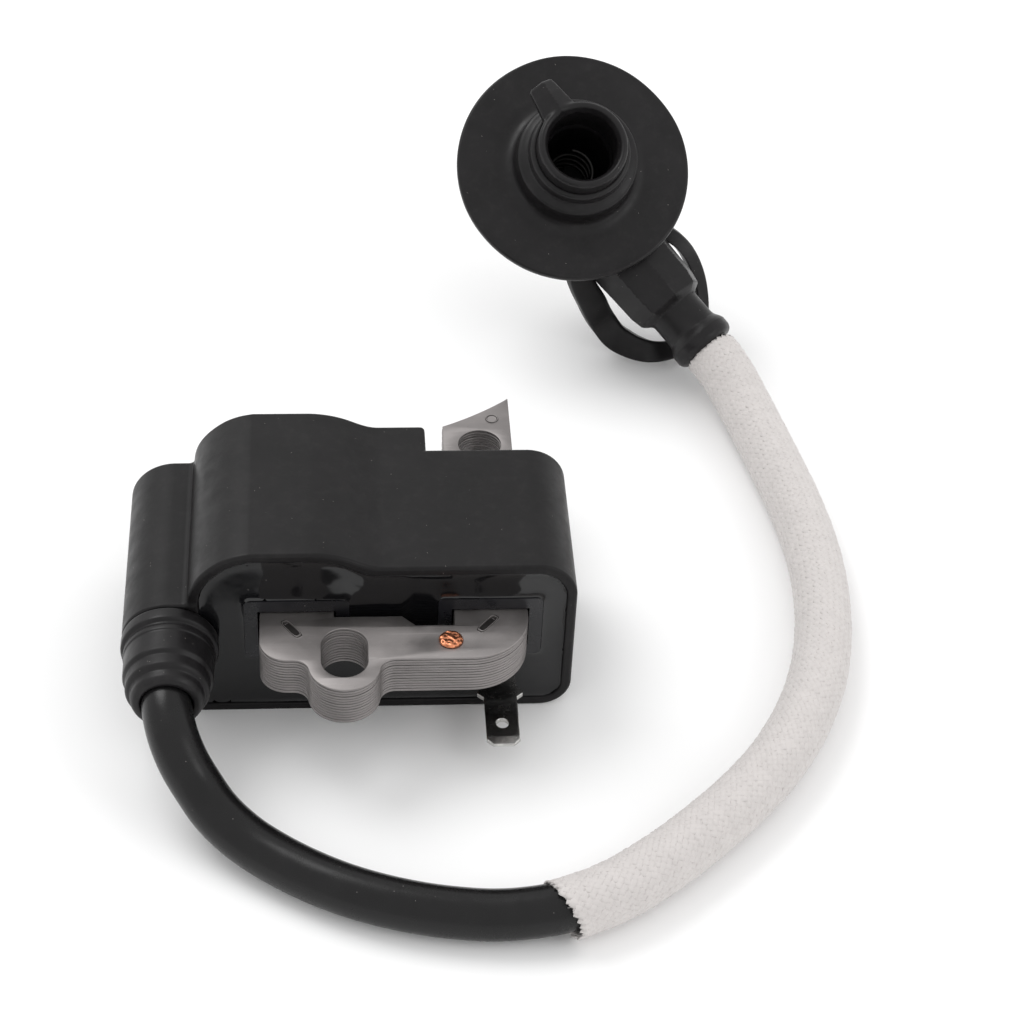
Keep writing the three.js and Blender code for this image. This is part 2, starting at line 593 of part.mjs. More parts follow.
// ---------------------------------------------------------------- high-tension outlet
const spikeFoot = CASE_FRONT + TOWER_DEPTH - GAP;
const spikeProfile = [
  [0, 0], [stemRadius, 0], [stemRadius, SPIKE_BASE], [SPIKE_RADIUS, SPIKE_BASE],
  [SPIKE_RADIUS, SPIKE_BASE + SPIKE_LENGTH - 1.5], [0, SPIKE_BASE + SPIKE_LENGTH],
];
add("ht_contact_spike", turned(spikeProfile, towerAt(spikeFoot), frontward, 12), MATERIAL.tin);
const linkCurve = new THREE.CatmullRomCurve3([
  new THREE.Vector3(TOWER_X + SPIKE_RADIUS + GAP, LINK_Y, TOWER_Z),
  new THREE.Vector3((TOWER_X + CASE_LEFT) / 2 + 1, LINK_Y, TOWER_Z),
  new THREE.Vector3(LEG_A_LEFT - secondaryFull - GAP - 0.45, LINK_Y, TOWER_Z),
]);
add("ht_link_wire", tube(linkCurve, 4, 0.4, 8), MATERIAL.tin);

const flangeRadius = leadHole + GROMMET_FLANGE_WALL;
const bodyRadius = leadHole + GROMMET_BODY_WALL;
const stepRadius = bodyRadius - 0.4;
const noseRadius = leadHole + GROMMET_NOSE_WALL;
const grommetProfile = [
  [leadHole, -GROMMET_STEM], [stemRadius, -GROMMET_STEM], [stemRadius, GAP], [flangeRadius, GAP],
  [flangeRadius, 2.4], [bodyRadius, 2.6], [bodyRadius, 8.0], [stepRadius, 8.4],
  [stepRadius, 10.2], [noseRadius, 10.5], [noseRadius, GROMMET_LENGTH - 0.8],
  [noseRadius - 0.5, GROMMET_LENGTH], [leadHole, GROMMET_LENGTH], [leadHole, -GROMMET_STEM],
];
add("lead_grommet", turned(grommetProfile, towerAt(CASE_FRONT), frontward, 24), MATERIAL.rubber);

// ---------------------------------------------------------------- lead and heat sleeve
const neckAxis = BOOT_SOCKET.clone().sub(BOOT_BEAD).normalize();
const elbowLength = BOOT_SOCKET.distanceTo(BOOT_BEAD);
const alongNeck = (s) => BOOT_BEAD.clone().addScaledVector(neckAxis, s);
const leadEnd = elbowLength - PLUG_BORE_RADIUS - 2.5;
const bootRoute = [alongNeck(0), alongNeck(leadEnd / 2), alongNeck(leadEnd)];
const ROUTE_STEPS = 2400;
const leadCurve = new THREE.CatmullRomCurve3(
  [...LEAD_ROUTE.map(vector), ...SLEEVE_ROUTE.map(vector), ...bootRoute], false, "centripetal",
);
leadCurve.arcLengthDivisions = ROUTE_STEPS;
add("ht_lead", tube(leadCurve, 48, LEAD_RADIUS, LEAD_SIDES, LEAD_BORE_RADIUS, 8), MATERIAL.lead);

// The same centre line between two fractions of its length.
function part(curve, from, to, count) {
  const at = (i) => curve.getPointAt(from + ((to - from) * i) / count);
  return new THREE.CatmullRomCurve3(Array.from({ length: count + 1 }, (_, i) => at(i)));
}
const leadLength = leadCurve.getLength();
const conductorStart = (SPIKE_LENGTH + 3) / leadLength;
add(
  "ht_lead_conductor",
  tube(part(leadCurve, conductorStart, 0.998, 60), 48, CONDUCTOR_RADIUS, 8),
  MATERIAL.copper,
);
const routeTo = (target) => {
  const points = leadCurve.getSpacedPoints(ROUTE_STEPS);
  const distances = points.map((p) => p.distanceTo(target));
  return distances.indexOf(Math.min(...distances)) / ROUTE_STEPS;
};
const sleeveFrom = routeTo(vector(SLEEVE_ROUTE[0]));
const sleeveTo = routeTo(BOOT_BEAD) - 2.4 / leadLength;
const sleeveCurve = part(leadCurve, sleeveFrom, sleeveTo, 40);
const sleeve = tube(sleeveCurve, 26, SLEEVE_RADIUS, LEAD_SIDES, SLEEVE_BORE_RADIUS, LEAD_SIDES);
add("heat_sleeve", sleeve, MATERIAL.braid);

// ---------------------------------------------------------------- spark plug boot
const shoulder = (share) => NECK_RADIUS + share * (ELBOW_RADIUS - NECK_RADIUS);
const neckProfile = [
  [0, 0], [BEAD_RADIUS - 0.8, 0], [BEAD_RADIUS, 1], [BEAD_RADIUS, 2.6], [NECK_RADIUS, 3.8],
  [NECK_RADIUS, SHOULDER_RUN - 0.5], [shoulder(0.6), SHOULDER_RUN], [shoulder(0.76), SHOULDER_RUN + 3],
  [shoulder(0.8), SHOULDER_RUN + 8], [ELBOW_RADIUS, SHOULDER_RUN + 14], [ELBOW_RADIUS, elbowLength],
  [0, elbowLength],
];
const heel = ELBOW_RADIUS;
const socketProfile = [
  [0, -heel], [0.5 * heel, -0.87 * heel], [0.87 * heel, -0.5 * heel], [heel, 0], [SOCKET_RADIUS, 2],
  [SOCKET_RADIUS, SOCKET_RISE - 0.6], [SOCKET_RADIUS - 0.6, SOCKET_RISE], [0, SOCKET_RISE],
];
const boreFloor = BOOT_SOCKET.clone().addScaledVector(PLUG_AXIS, -BORE_FLOOR);
const plugBore = cylinder(PLUG_BORE_RADIUS, boreFloor, PLUG_AXIS, BORE_FLOOR + SOCKET_RISE + 1, 20);
const leadBore = cylinder(leadHole, alongNeck(-1), neckAxis, elbowLength + 1, 16);
// The pull loop leaves the elbow on both sides, passes under the neck and touches the floor.
const loopCurve = new THREE.CatmullRomCurve3([
  new THREE.Vector3(39.6, 74.6, 20.6),
  new THREE.Vector3(38.7, 68.0, 16.8),
  new THREE.Vector3(41.2, 67.4, 10.4),
  new THREE.Vector3(43.6, 68.2, 5.4),
  new THREE.Vector3(46.4, 67.0, 2.5),
  new THREE.Vector3(52.2, 64.2, 1.9),
  new THREE.Vector3(58.0, 66.6, 2.0),
  new THREE.Vector3(61.2, 71.6, 3.4),
  new THREE.Vector3(61.2, 75.4, 8.0),
  new THREE.Vector3(59.0, 76.0, 14.0),
  new THREE.Vector3(55.2, 74.4, 19.4),
  new THREE.Vector3(49.4, 75.6, 21.6),
  new THREE.Vector3(43.4, 78.8, 23.0),
]);
// A pointer stands out sideways from the mouth's rim.
const acrossAxis = new THREE.Vector3().crossVectors(PLUG_AXIS, neckAxis).normalize();
const pointerDirection = new THREE.Vector3(-0.54, 0.65, 0.53).projectOnPlane(PLUG_AXIS).normalize();
const pointerSide = new THREE.Vector3().crossVectors(PLUG_AXIS, pointerDirection);
const pointerFrame = new THREE.Matrix4()
  .makeBasis(pointerDirection, pointerSide, PLUG_AXIS)
  .setPosition(BOOT_SOCKET.clone().addScaledVector(PLUG_AXIS, SOCKET_RISE - 0.4 - POINTER_THICKNESS));
const pointerShape = new THREE.Shape();
pointerShape.moveTo(PLUG_BORE_RADIUS, -3.1).lineTo(POINTER_LENGTH - 0.6, -2.3).lineTo(POINTER_LENGTH, -1.7);
pointerShape.lineTo(POINTER_LENGTH, 1.7).lineTo(POINTER_LENGTH - 0.6, 2.3);
pointerShape.lineTo(PLUG_BORE_RADIUS, 3.1).closePath();
const pointer = plate(pointerShape, 0, POINTER_THICKNESS).applyMatrix4(pointerFrame);
const boot = join(
  turned(neckProfile, BOOT_BEAD, neckAxis, 20),
  turned(socketProfile, BOOT_SOCKET, PLUG_AXIS, 24),
  tube(loopCurve, 24, LOOP_RADIUS, 8),
  pointer,
).subtract(solid(plugBore)).subtract(solid(leadBore));
add("plug_boot", boot, MATERIAL.rubber);

const sealHole = SOCKET_RADIUS + GAP;
const sealProfile = [
  [sealHole, -DISC_THICKNESS], [DISC_RADIUS - 0.5, -DISC_THICKNESS], [DISC_RADIUS, -DISC_THICKNESS / 2],
  [DISC_RADIUS - 0.3, 0], [HUB_RADIUS + 0.8, 0], [HUB_RADIUS, 0.8], [HUB_RADIUS, 4.6],
  [HUB_RADIUS - 1.5, 5.8], [HUB_RADIUS - 1.6, HUB_HEIGHT - 0.4], [HUB_RADIUS - 2.0, HUB_HEIGHT],
  [sealHole, HUB_HEIGHT],
  [sealHole, -DISC_THICKNESS],
];
const discFoot = BOOT_SOCKET.clone().addScaledVector(PLUG_AXIS, DISC_HEIGHT);
add("boot_seal_disc", turned(sealProfile, discFoot, PLUG_AXIS, 40), MATERIAL.rubber);

// The spring clip that grips the spark plug's terminal.
class Helix extends THREE.Curve {
  getPoint(t, target = new THREE.Vector3()) {
    const angle = 2 * Math.PI * 4 * t;
    return target.set(3.6 * Math.cos(angle), 3.6 * Math.sin(angle), 9 * t);
  }
}
const springFrame = new THREE.Matrix4()
  .makeBasis(neckAxis, acrossAxis, PLUG_AXIS)
  .setPosition(boreFloor.clone().addScaledVector(PLUG_AXIS, 0.6));
add("plug_contact_spring", tube(new Helix(), 44, 0.45, 6).applyMatrix4(springFrame), MATERIAL.tin);

export default coil;
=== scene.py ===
"""Finished surfaces, materials and stage for a small engine's ignition coil.

Shapes are worked out in millimetres in the part's own frame and put into meshes in metres.
"""
import math

import bpy
import numpy as np
from bpy.props import FloatProperty, FloatVectorProperty, IntProperty, PointerProperty
from mathutils import Matrix, Vector
from mathutils.geometry import tessellate_polygon


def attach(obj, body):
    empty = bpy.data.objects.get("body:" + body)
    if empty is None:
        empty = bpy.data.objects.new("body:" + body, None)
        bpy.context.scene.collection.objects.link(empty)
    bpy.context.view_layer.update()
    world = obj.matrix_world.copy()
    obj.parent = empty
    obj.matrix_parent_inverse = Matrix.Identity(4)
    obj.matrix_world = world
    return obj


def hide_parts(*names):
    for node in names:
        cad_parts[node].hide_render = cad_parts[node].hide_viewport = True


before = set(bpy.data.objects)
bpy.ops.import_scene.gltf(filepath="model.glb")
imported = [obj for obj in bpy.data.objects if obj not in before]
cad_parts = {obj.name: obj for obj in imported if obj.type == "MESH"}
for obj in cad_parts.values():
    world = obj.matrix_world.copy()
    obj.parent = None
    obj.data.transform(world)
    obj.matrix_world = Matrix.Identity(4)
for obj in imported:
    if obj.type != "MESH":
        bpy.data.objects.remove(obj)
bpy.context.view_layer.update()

bl_info = {
    "name": "Ignition coil",
    "version": (1, 0, 0),
    "blender": (4, 5, 0),
    "location": "3D View > Sidebar > Ignition coil",
    "description": "Builds the finished pieces, materials and stage of an ignition coil",
    "category": "Object",
}

MM = 0.001

# ---------------------------------------------------------------- sizes in millimetres
CASE_FRONT, CASE_REAR = -16.05, 14.9
NOTCH_X, NOTCH_REAR = 11.5, 9.65
CASE_LEFT, CASE_RIGHT, CASE_TOP = -22.3, 32.1, 27.6
CASE_WALL = 1.5
LOBE_LEFT, LOBE_RIGHT, LOBE_TOP, LOBE_RADIUS = -12.9, -6.0, 30.4, 15.2
TOWER = np.array([-25.35, 14.2])
TOWER_RADIUS, TOWER_BORE, TOWER_DEPTH = 6.85, 4.7, 22.0
CORE_BOTTOM, CORE_TOP, SHEET, SHEET_PITCH, SHEET_COUNT = 12.64, 19.1, 0.46, 0.5, 13
LEG_WIDTH, LEG_A, LEG_B = 10.4, -12.67, 14.7
RESIN_FRONT, RESIN_DEPTH = CASE_FRONT + 0.6, 2.0
YOKE_FRONT, YOKE_BACK = -25.15, -18.6
YOKE_LEFT_CORNER, YOKE_RIGHT_CORNER = 3.9, 8.2
YOKE_SLANT_X, YOKE_SLANT_RUN = 7.3, 1.9
BOSS_X, BOSS_Y, BOSS_RADIUS, BOSS_FILLET = -0.87, -26.0, 5.06, 2.2
SLOT_NEAR, SLOT_FAR, SCREW_RADIUS = -25.3, -22.3, 3.25
REAR_HOLE = (20.2, 20.7)
FLYWHEEL, FLYWHEEL_RADIUS = (-5.7, 68.4), 48.0
RIVET, RIVET_HOLE = (14.0, -21.7), 1.4
TAB_X, TAB_Z, TAB_TIP, TAB_END = 21.55, 4.95, -28.7, -11.2
TAB_HALF, TAB_SHOULDER, TAB_HOLE_Y, TAB_HOLE_RADIUS = 2.4, 3.3, -24.7, 0.88
LEG_GAP = 0.3  # between a core leg and the case
FRAME_RIM = 2.15  # from a core leg to the rim of its bobbin's frame
BEAD = np.array([60.86, 57.95, 8.0])
SOCKET = np.array([37.8, 81.3, 25.2])
PLUG_AXIS = np.array([0.05, -0.61, 0.79])
PLUG_AXIS /= np.linalg.norm(PLUG_AXIS)
NECK_LENGTH = float(np.linalg.norm(SOCKET - BEAD))
NECK_AXIS = (SOCKET - BEAD) / NECK_LENGTH
SOCKET_RISE, PLUG_BORE, PLUG_BORE_DEPTH = 21.1, 5.7, 23.5
DISC_HEIGHT, DISC_RADIUS = 9.5, 19.35
LEAD_END = NECK_LENGTH - PLUG_BORE - 2.5
LOOP_MIDDLE = np.array([50.0, 71.5, 12.0])
SLEEVE_TAPER = 5.0  # the open end's shape dies away over this length
TOWER_MOUTH = np.array([TOWER[0], CASE_FRONT, TOWER[1]])

# The lead's centre line: straight out of the tower, down to the floor, round in one loose curve
# and up into the boot. The second list is the stretch under the sleeve.
BARE_ROUTE = [
    (-25.35, -1, 14.2), (-25.35, -12, 14.2), (-25.35, -22, 14.2), (-25.35, -28.6, 14.2),
    (-24.4, -32.9, 12.6), (-22.9, -35.8, 10.3), (-21.0, -38.1, 8.0), (-18.8, -40.7, 6.1),
    (-16.2, -43.1, 4.8), (-13.2, -45.5, 4.0), (-7.5, -49.5, 3.6), (-0.9, -53.2, 3.6),
    (6.0, -55.8, 3.6), (12.9, -57.4, 3.6), (20.2, -58.1, 3.7),
]
SLEEVE_ROUTE = [
    (28.0, -57.4, 4.2), (34.5, -55.2, 4.4), (41.1, -50.9, 4.4), (47.6, -45.5, 4.4),
    (54.0, -39.3, 4.4), (60.0, -32.2, 4.4), (65.2, -23.6, 4.4), (69.2, -13.4, 4.4),
    (71.4, -1.7, 4.4), (71.9, 9.8, 4.4), (70.9, 21.0, 4.4), (68.9, 32.5, 4.5),
    (66.4, 44.0, 5.0), (64.8, 49.7, 5.8), (63.2, 53.9, 6.8),
]
LOOP_ROUTE = [
    (39.6, 74.6, 20.6), (38.7, 68.0, 16.8), (41.2, 67.4, 10.4), (43.6, 68.2, 5.4),
    (46.4, 67.0, 2.6), (52.2, 64.2, 2.2), (58.0, 66.6, 2.3), (61.2, 71.6, 3.6),
    (61.2, 75.4, 8.0), (59.0, 76.0, 14.0), (55.2, 74.4, 19.4), (49.4, 75.6, 21.6),
    (43.4, 78.8, 23.0),
]


# ---------------------------------------------------------------- meshes
def put_mesh(name, points, faces, finish, uv=None, normals=None):
    """An object whose mesh has these points in millimetres and these arrays of faces, turned outwards."""
    points = np.asarray(points, float)
    faces = [f for f in faces if len(f)]
    volume = 0.0
    for f in faces:
        first = points[f[:, 0]]
        for i in range(1, f.shape[1] - 1):
            volume += np.einsum("ij,ij->", first, np.cross(points[f[:, i]], points[f[:, i + 1]]))
    if volume < 0:
        faces = [f[:, ::-1] for f in faces]
    mesh = bpy.data.meshes.new(name)
    corners = np.concatenate([f.ravel() for f in faces]).astype(np.int32)
    sizes = np.concatenate([np.full(len(f), f.shape[1]) for f in faces])
    starts = np.concatenate([[0], np.cumsum(sizes)[:-1]]).astype(np.int32)
    mesh.vertices.add(len(points))
    mesh.vertices.foreach_set("co", (points * MM).astype(np.float32).ravel())
    mesh.loops.add(len(corners))
    mesh.loops.foreach_set("vertex_index", corners)
    mesh.polygons.add(len(sizes))
    mesh.polygons.foreach_set("loop_start", starts)
    mesh.update(calc_edges=True)
    mesh.shade_smooth()
    if uv is not None:
        layer = mesh.uv_layers.new(name="UVMap")
        layer.data.foreach_set("uv", np.asarray(uv, np.float32)[corners].ravel())
    if normals is not None:
        mesh.normals_split_custom_set_from_vertices(np.asarray(normals, np.float32))
    mesh.materials.append(finish)
    piece = bpy.data.objects.new(name, mesh)
    bpy.context.scene.collection.objects.link(piece)
    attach(piece, "root")
    return piece


def stands_for(piece, slot, *nodes):
    """The piece is shown in place of these nodes, which are hidden. The slot is not used."""
    if nodes:
        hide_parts(*nodes)
    return piece


def unit(vectors):
    """The same directions with length one."""
    return vectors / np.maximum(np.linalg.norm(vectors, axis=-1, keepdims=True), 1e-9)


def grid_faces(rows, columns, wrap_rows=False, wrap_columns=True):
    """Four-cornered faces between neighbouring points of a grid, closed round either way."""
    r = np.arange(rows if wrap_rows else rows - 1)[:, None]
    c = np.arange(columns if wrap_columns else columns - 1)[None]
    after, right = (r + 1) % rows, (c + 1) % columns
    corners = [r * columns + c, r * columns + right, after * columns + right, after * columns + c]
    return np.stack(corners, -1).reshape(-1, 4)


def closed_loft(grid, wrap_rows=False):
    """Points and faces of rings joined in order, with each open end closed by a fan to its middle."""
    rows, columns = grid.shape[:2]
    points, faces = grid.reshape(-1, 3), [grid_faces(rows, columns, wrap_rows)]
    if not wrap_rows:
        points = np.vstack([points, grid[0].mean(0), grid[-1].mean(0)])
        ring = np.arange(columns)
        following = (ring + 1) % columns
        last, total = (rows - 1) * columns, rows * columns
        faces.append(np.stack([following, ring, np.full(columns, total)], -1))
        faces.append(np.stack([last + ring, last + following, np.full(columns, total + 1)], -1))
    return points, faces


def joined_lofts(grids):
    """Points and faces of several closed lofts, one after another in one mesh."""
    points, quads, caps, offset = [], [], [], 0
    for grid in grids:
        loft_points, loft_faces = closed_loft(grid)
        points.append(loft_points)
        quads.append(loft_faces[0] + offset)
        caps.append(np.vstack(loft_faces[1:]) + offset)
        offset += len(loft_points)
    return np.vstack(points), [np.vstack(quads), np.vstack(caps)]


def softened(points, reach, steps=5, closed=False):
    """Each corner becomes a quadratic curve that starts and ends reach away, or nearly half a short side."""
    p = np.asarray(points, float)

    def toward(neighbour):
        run = neighbour - p
        length = np.maximum(np.linalg.norm(run, axis=1, keepdims=True), 1e-9)
        return p + run / length * np.minimum(reach, 0.45 * length)

    before, after = toward(np.roll(p, 1, 0)), toward(np.roll(p, -1, 0))
    t = np.linspace(0, 1, steps)[None, :, None]
    curve = (1 - t) ** 2 * before[:, None] + 2 * t * (1 - t) * p[:, None] + t**2 * after[:, None]
    if closed:
        return curve.reshape(-1, p.shape[1])
    return np.vstack([p[:1], curve[1:-1].reshape(-1, p.shape[1]), p[-1:]])


def across(axis):
    """Two unit directions square to the axis and to each other."""
    helper = np.array([1.0, 0, 0]) if abs(axis[0]) < 0.7 else np.array([0, 0, 1.0])
    side = unit(np.cross(axis, helper))
    return side, np.cross(axis, side)


def turned(profile, foot, axis, segments):
    """Each [radius, height] of the profile goes round the axis as foot + height*axis + radius*direction."""
    side, up = across(axis)
    angle = np.linspace(0, 2 * np.pi, segments, endpoint=False)
    direction = np.cos(angle)[:, None] * side + np.sin(angle)[:, None] * up
    return foot + profile[:, 1, None, None] * axis + profile[:, 0, None, None] * direction[None]


def smooth_line(points, spacing):
    """Centripetal Catmull-Rom curve through the points, then points at even steps along it."""
    p = np.asarray(points, float)
    p = np.vstack([2 * p[0] - p[1], p, 2 * p[-1] - p[-2]])
    knots = np.concatenate([[0], np.cumsum(np.linalg.norm(np.diff(p, axis=0), axis=1) ** 0.5)])
    u = np.linspace(knots[1], knots[-2] - 1e-9, 60 * len(p))
    i = np.clip(np.searchsorted(knots, u, "right") - 1, 1, len(p) - 3)

    def mix(a, b, start, end):
        return (a * (end - u)[:, None] + b * (u - start)[:, None]) / (end - start)[:, None]

    t0, t1, t2, t3 = (knots[i + k] for k in (-1, 0, 1, 2))
    a1 = mix(p[i - 1], p[i], t0, t1)
    a2 = mix(p[i], p[i + 1], t1, t2)
    a3 = mix(p[i + 1], p[i + 2], t2, t3)
    b1, b2 = mix(a1, a2, t0, t2), mix(a2, a3, t1, t3)
    return even_steps(mix(b1, b2, t1, t2), spacing)


def even_steps(line, spacing):
    """The same line with its points at even steps."""
    run = np.concatenate([[0], np.cumsum(np.linalg.norm(np.diff(line, axis=0), axis=1))])
    at = np.linspace(0, run[-1], max(2, int(round(run[-1] / spacing)) + 1))
    return np.stack([np.interp(at, run, line[:, k]) for k in range(3)], -1)


def line_frames(line):
    """Along a line: its level side and its own upward direction."""
    ahead = unit(np.gradient(line, axis=0))
    side = unit(np.cross(ahead, (0, 0, 1)))
    return side, np.cross(side, ahead)


def at_run(line, frames, run, total):
    """Place, side and up at distances run along a line of this total length."""
    at = np.clip(run / total, 0, 1) * (len(line) - 1)
    numbers = np.arange(len(line))

    def pick(values):
        return np.stack([np.interp(at, numbers, values[:, k]) for k in range(3)], -1)

    return pick(line), pick(frames[0]), pick(frames[1])


# ---------------------------------------------------------------- surfaces where a distance is zero
def zero_surface(distance, xs, ys, zs):
    """Closed surface where distance(points) is zero. One point stands in each cell of the grid that the
    surface crosses, at the mean of its crossings of the cell's edges, and is then moved along the
    distance's slope on to the surface. Each crossed edge gives a face to the four cells round it."""
    axes = [np.asarray(a, float) for a in (xs, ys, zs)]
    shape = tuple(len(a) for a in axes)
    mesh = np.meshgrid(*axes, indexing="ij")
    value = distance(np.stack(mesh, -1).reshape(-1, 3)).reshape(shape)
    cells = np.array(shape) - 1
    count = int(np.prod(cells))
    sums, hits, faces = np.zeros((count, 3)), np.zeros(count), []

    def cell_index(i, j, k):
        return (i * cells[1] + j) * cells[2] + k

    for axis in range(3):
        u, v = (axis + 1) % 3, (axis + 2) % 3
        low = np.take(value, np.arange(shape[axis] - 1), axis)
        high = np.take(value, np.arange(1, shape[axis]), axis)
        index = np.argwhere((low < 0) != (high < 0))
        index = index[np.all((index[:, [u, v]] > 0) & (index[:, [u, v]] < cells[[u, v]]), axis=1)]
        a, b = low[tuple(index.T)], high[tuple(index.T)]
        place = np.stack([axes[k][index[:, k]] for k in range(3)], -1)
        place[:, axis] += a / (a - b) * (axes[axis][index[:, axis] + 1] - axes[axis][index[:, axis]])
        around = []
        for du, dv in ((1, 1), (0, 1), (0, 0), (1, 0)):
            cell = index.copy()
            cell[:, u] -= du
            cell[:, v] -= dv
            around.append(cell_index(*cell.T))
            sums += np.stack([np.bincount(around[-1], place[:, k], count) for k in range(3)], -1)
            hits += np.bincount(around[-1], minlength=count)
        quads = np.stack(around, -1)
        quads[a >= 0] = quads[a >= 0][:, ::-1]
        faces.append(quads)
    used, corners = np.unique(np.concatenate(faces), return_inverse=True)
    points = sums[used] / hits[used, None]
    for _ in range(3):
        here, slope = slope_at(distance, points)
        step = here[:, None] * slope / np.maximum((slope**2).sum(1, keepdims=True), 0.05)
        length = np.maximum(np.linalg.norm(step, axis=1, keepdims=True), 1e-9)
        points = points - step * np.minimum(1, 0.4 / length)
    _, slope = slope_at(distance, points, 0.02)
    return points, [corners.reshape(-1, 4)], unit(slope)


def slope_at(distance, points, reach=0.01):
    """The distance at the points, and how fast it grows along X, Y and Z."""
    here = distance(points)
    ahead = [distance(points + reach * np.eye(3)[k]) for k in range(3)]
    return here, np.stack([(a - here) / reach for a in ahead], -1)


def union(a, b, fillet):
    """The lower of two distances, with a fillet where they meet."""
    h = np.maximum(fillet - np.abs(a - b), 0) / fillet
    return np.minimum(a, b) - h * h * fillet / 4


def without(a, b, edge):
    """The first shape less the second, with a rounded edge."""
    return -union(-a, b, edge)


def within(a, b, edge):
    """The space in both shapes, with an edge of that radius."""
    q, w = a + edge, b + edge
    return np.minimum(np.maximum(q, w), 0) + np.hypot(np.maximum(q, 0), np.maximum(w, 0)) - edge


def rectangle_distance(u, v, low, high, radii=(0, 0, 0, 0)):
    """Distance to a rectangle whose corners (left foot, right foot, right top, left top) have these radii."""
    cu, cv = (low[0] + high[0]) / 2, (low[1] + high[1]) / 2
    right, top = u > cu, v > cv
    r = np.where(top, np.where(right, radii[2], radii[3]), np.where(right, radii[1], radii[0]))
    a = np.abs(u - cu) - (high[0] - low[0]) / 2 + r
    b = np.abs(v - cv) - (high[1] - low[1]) / 2 + r
    return np.minimum(np.maximum(a, b), 0) + np.hypot(np.maximum(a, 0), np.maximum(b, 0)) - r


def band(values, low, high):
    """Distance to the space between two levels."""
    return np.abs(values - (low + high) / 2) - (high - low) / 2


def polygon_distance(u, v, outline):
    """Distance to a polygon: the nearest side, negative where an odd number of sides stand to the right."""
    near, inside = np.full(len(u), 1e9), np.zeros(len(u), bool)
    for (x0, y0), (x1, y1) in zip(outline, np.roll(outline, -1, 0)):
        dx, dy = x1 - x0, y1 - y0
        t = np.clip(((u - x0) * dx + (v - y0) * dy) / (dx * dx + dy * dy), 0, 1)
        near = np.minimum(near, np.hypot(u - x0 - t * dx, v - y0 - t * dy))
        if dy:
            inside ^= ((y0 > v) != (y1 > v)) & (u < x0 + (v - y0) * dx / dy)
    return np.where(inside, -near, near)


def steps(*stretches):
    """Grid levels: each (start, end, step) filled evenly, joined in order."""
    levels = [np.linspace(a, b, max(2, int(round((b - a) / s)) + 1)) for a, b, s in stretches]
    return np.unique(np.round(np.concatenate(levels), 5))


# ---------------------------------------------------------------- materials
class Finish:
    """A material's nodes, read in Object coordinates in millimetres or in the piece's own UV map."""

    def __init__(self, name, metallic=0.0, **sockets):
        self.material = bpy.data.materials.new(name)
        self.material.use_nodes = True
        self.tree = self.material.node_tree
        self.shader = self.tree.nodes["Principled BSDF"]
        self.shader.inputs["Metallic"].default_value = metallic
        for socket, value in sockets.items():
            self.shader.inputs[socket.replace("_", " ")].default_value = value
        self.coordinates = self.tree.nodes.new("ShaderNodeTexCoord")

    def node(self, kind, inputs=(), **settings):
        made = self.tree.nodes.new("ShaderNode" + kind)
        for key, value in settings.items():
            setattr(made, key, value)
        for key, value in dict(inputs).items():
            if isinstance(value, bpy.types.NodeSocket):
                self.tree.links.new(value, made.inputs[key])
            else:
                made.inputs[key].default_value = value
        return made

    def place(self, source="Object", scale=(1000, 1000, 1000), turn=(0, 0, 0)):
        inputs = {"Vector": self.coordinates.outputs[source], "Scale": scale, "Rotation": turn}
        return self.node("Mapping", inputs).outputs[0]

    def noise(self, place, scale, detail=3.0, roughness=0.55, distortion=0.0):
        inputs = {"Vector": place, "Scale": scale, "Detail": detail, "Roughness": roughness}
        inputs["Distortion"] = distortion
        return self.node("TexNoise", inputs).outputs["Fac"]

    def cells(self, place, scale, feature="F1"):
        return self.node("TexVoronoi", {"Vector": place, "Scale": scale}, feature=feature).outputs["Distance"]

    def specks(self, place, spacing, size, patch, share):
        """Small round specks, only where a wide noise stands above a share."""
        spot = self.math("LESS_THAN", self.cells(place, spacing), size)
        some = self.math("GREATER_THAN", self.noise(place, patch, 1), share)
        return self.math("MULTIPLY", spot, some)

    def ramp(self, amount, stops):
        made = self.node("ValToRGB", {"Fac": amount})
        elements = made.color_ramp.elements
        while len(elements) < len(stops):
            elements.new(0.5)
        for element, (at, value) in zip(elements, stops):
            element.position = at
            element.color = (value,) * 3 + (1,) if np.isscalar(value) else tuple(value) + (1,)
        return made.outputs["Color"]

    def math(self, operation, a, b=0.0):
        return self.node("Math", {0: a, 1: b}, operation=operation).outputs[0]

    def mix(self, amount, a, b):
        made = self.node("MixRGB", {"Fac": amount})
        for key, value in (("Color1", a), ("Color2", b)):
            if isinstance(value, bpy.types.NodeSocket):
                self.tree.links.new(value, made.inputs[key])
            else:
                made.inputs[key].default_value = tuple(value) + (1,)
        return made.outputs[0]

    def bump(self, height, strength, depth_mm, under=None):
        inputs = {"Height": height, "Strength": strength, "Distance": depth_mm * MM}
        if under is not None:
            inputs["Normal"] = under
        return self.node("Bump", inputs).outputs[0]

    def finish(self, color=None, roughness=None, normal=None):
        for socket, value in (("Base Color", color), ("Roughness", roughness), ("Normal", normal)):
            if value is not None:
                self.tree.links.new(value, self.shader.inputs[socket])
        return self.material


def toned(color, share):
    """The colour made lighter or darker by a share."""
    return [share * c for c in color]


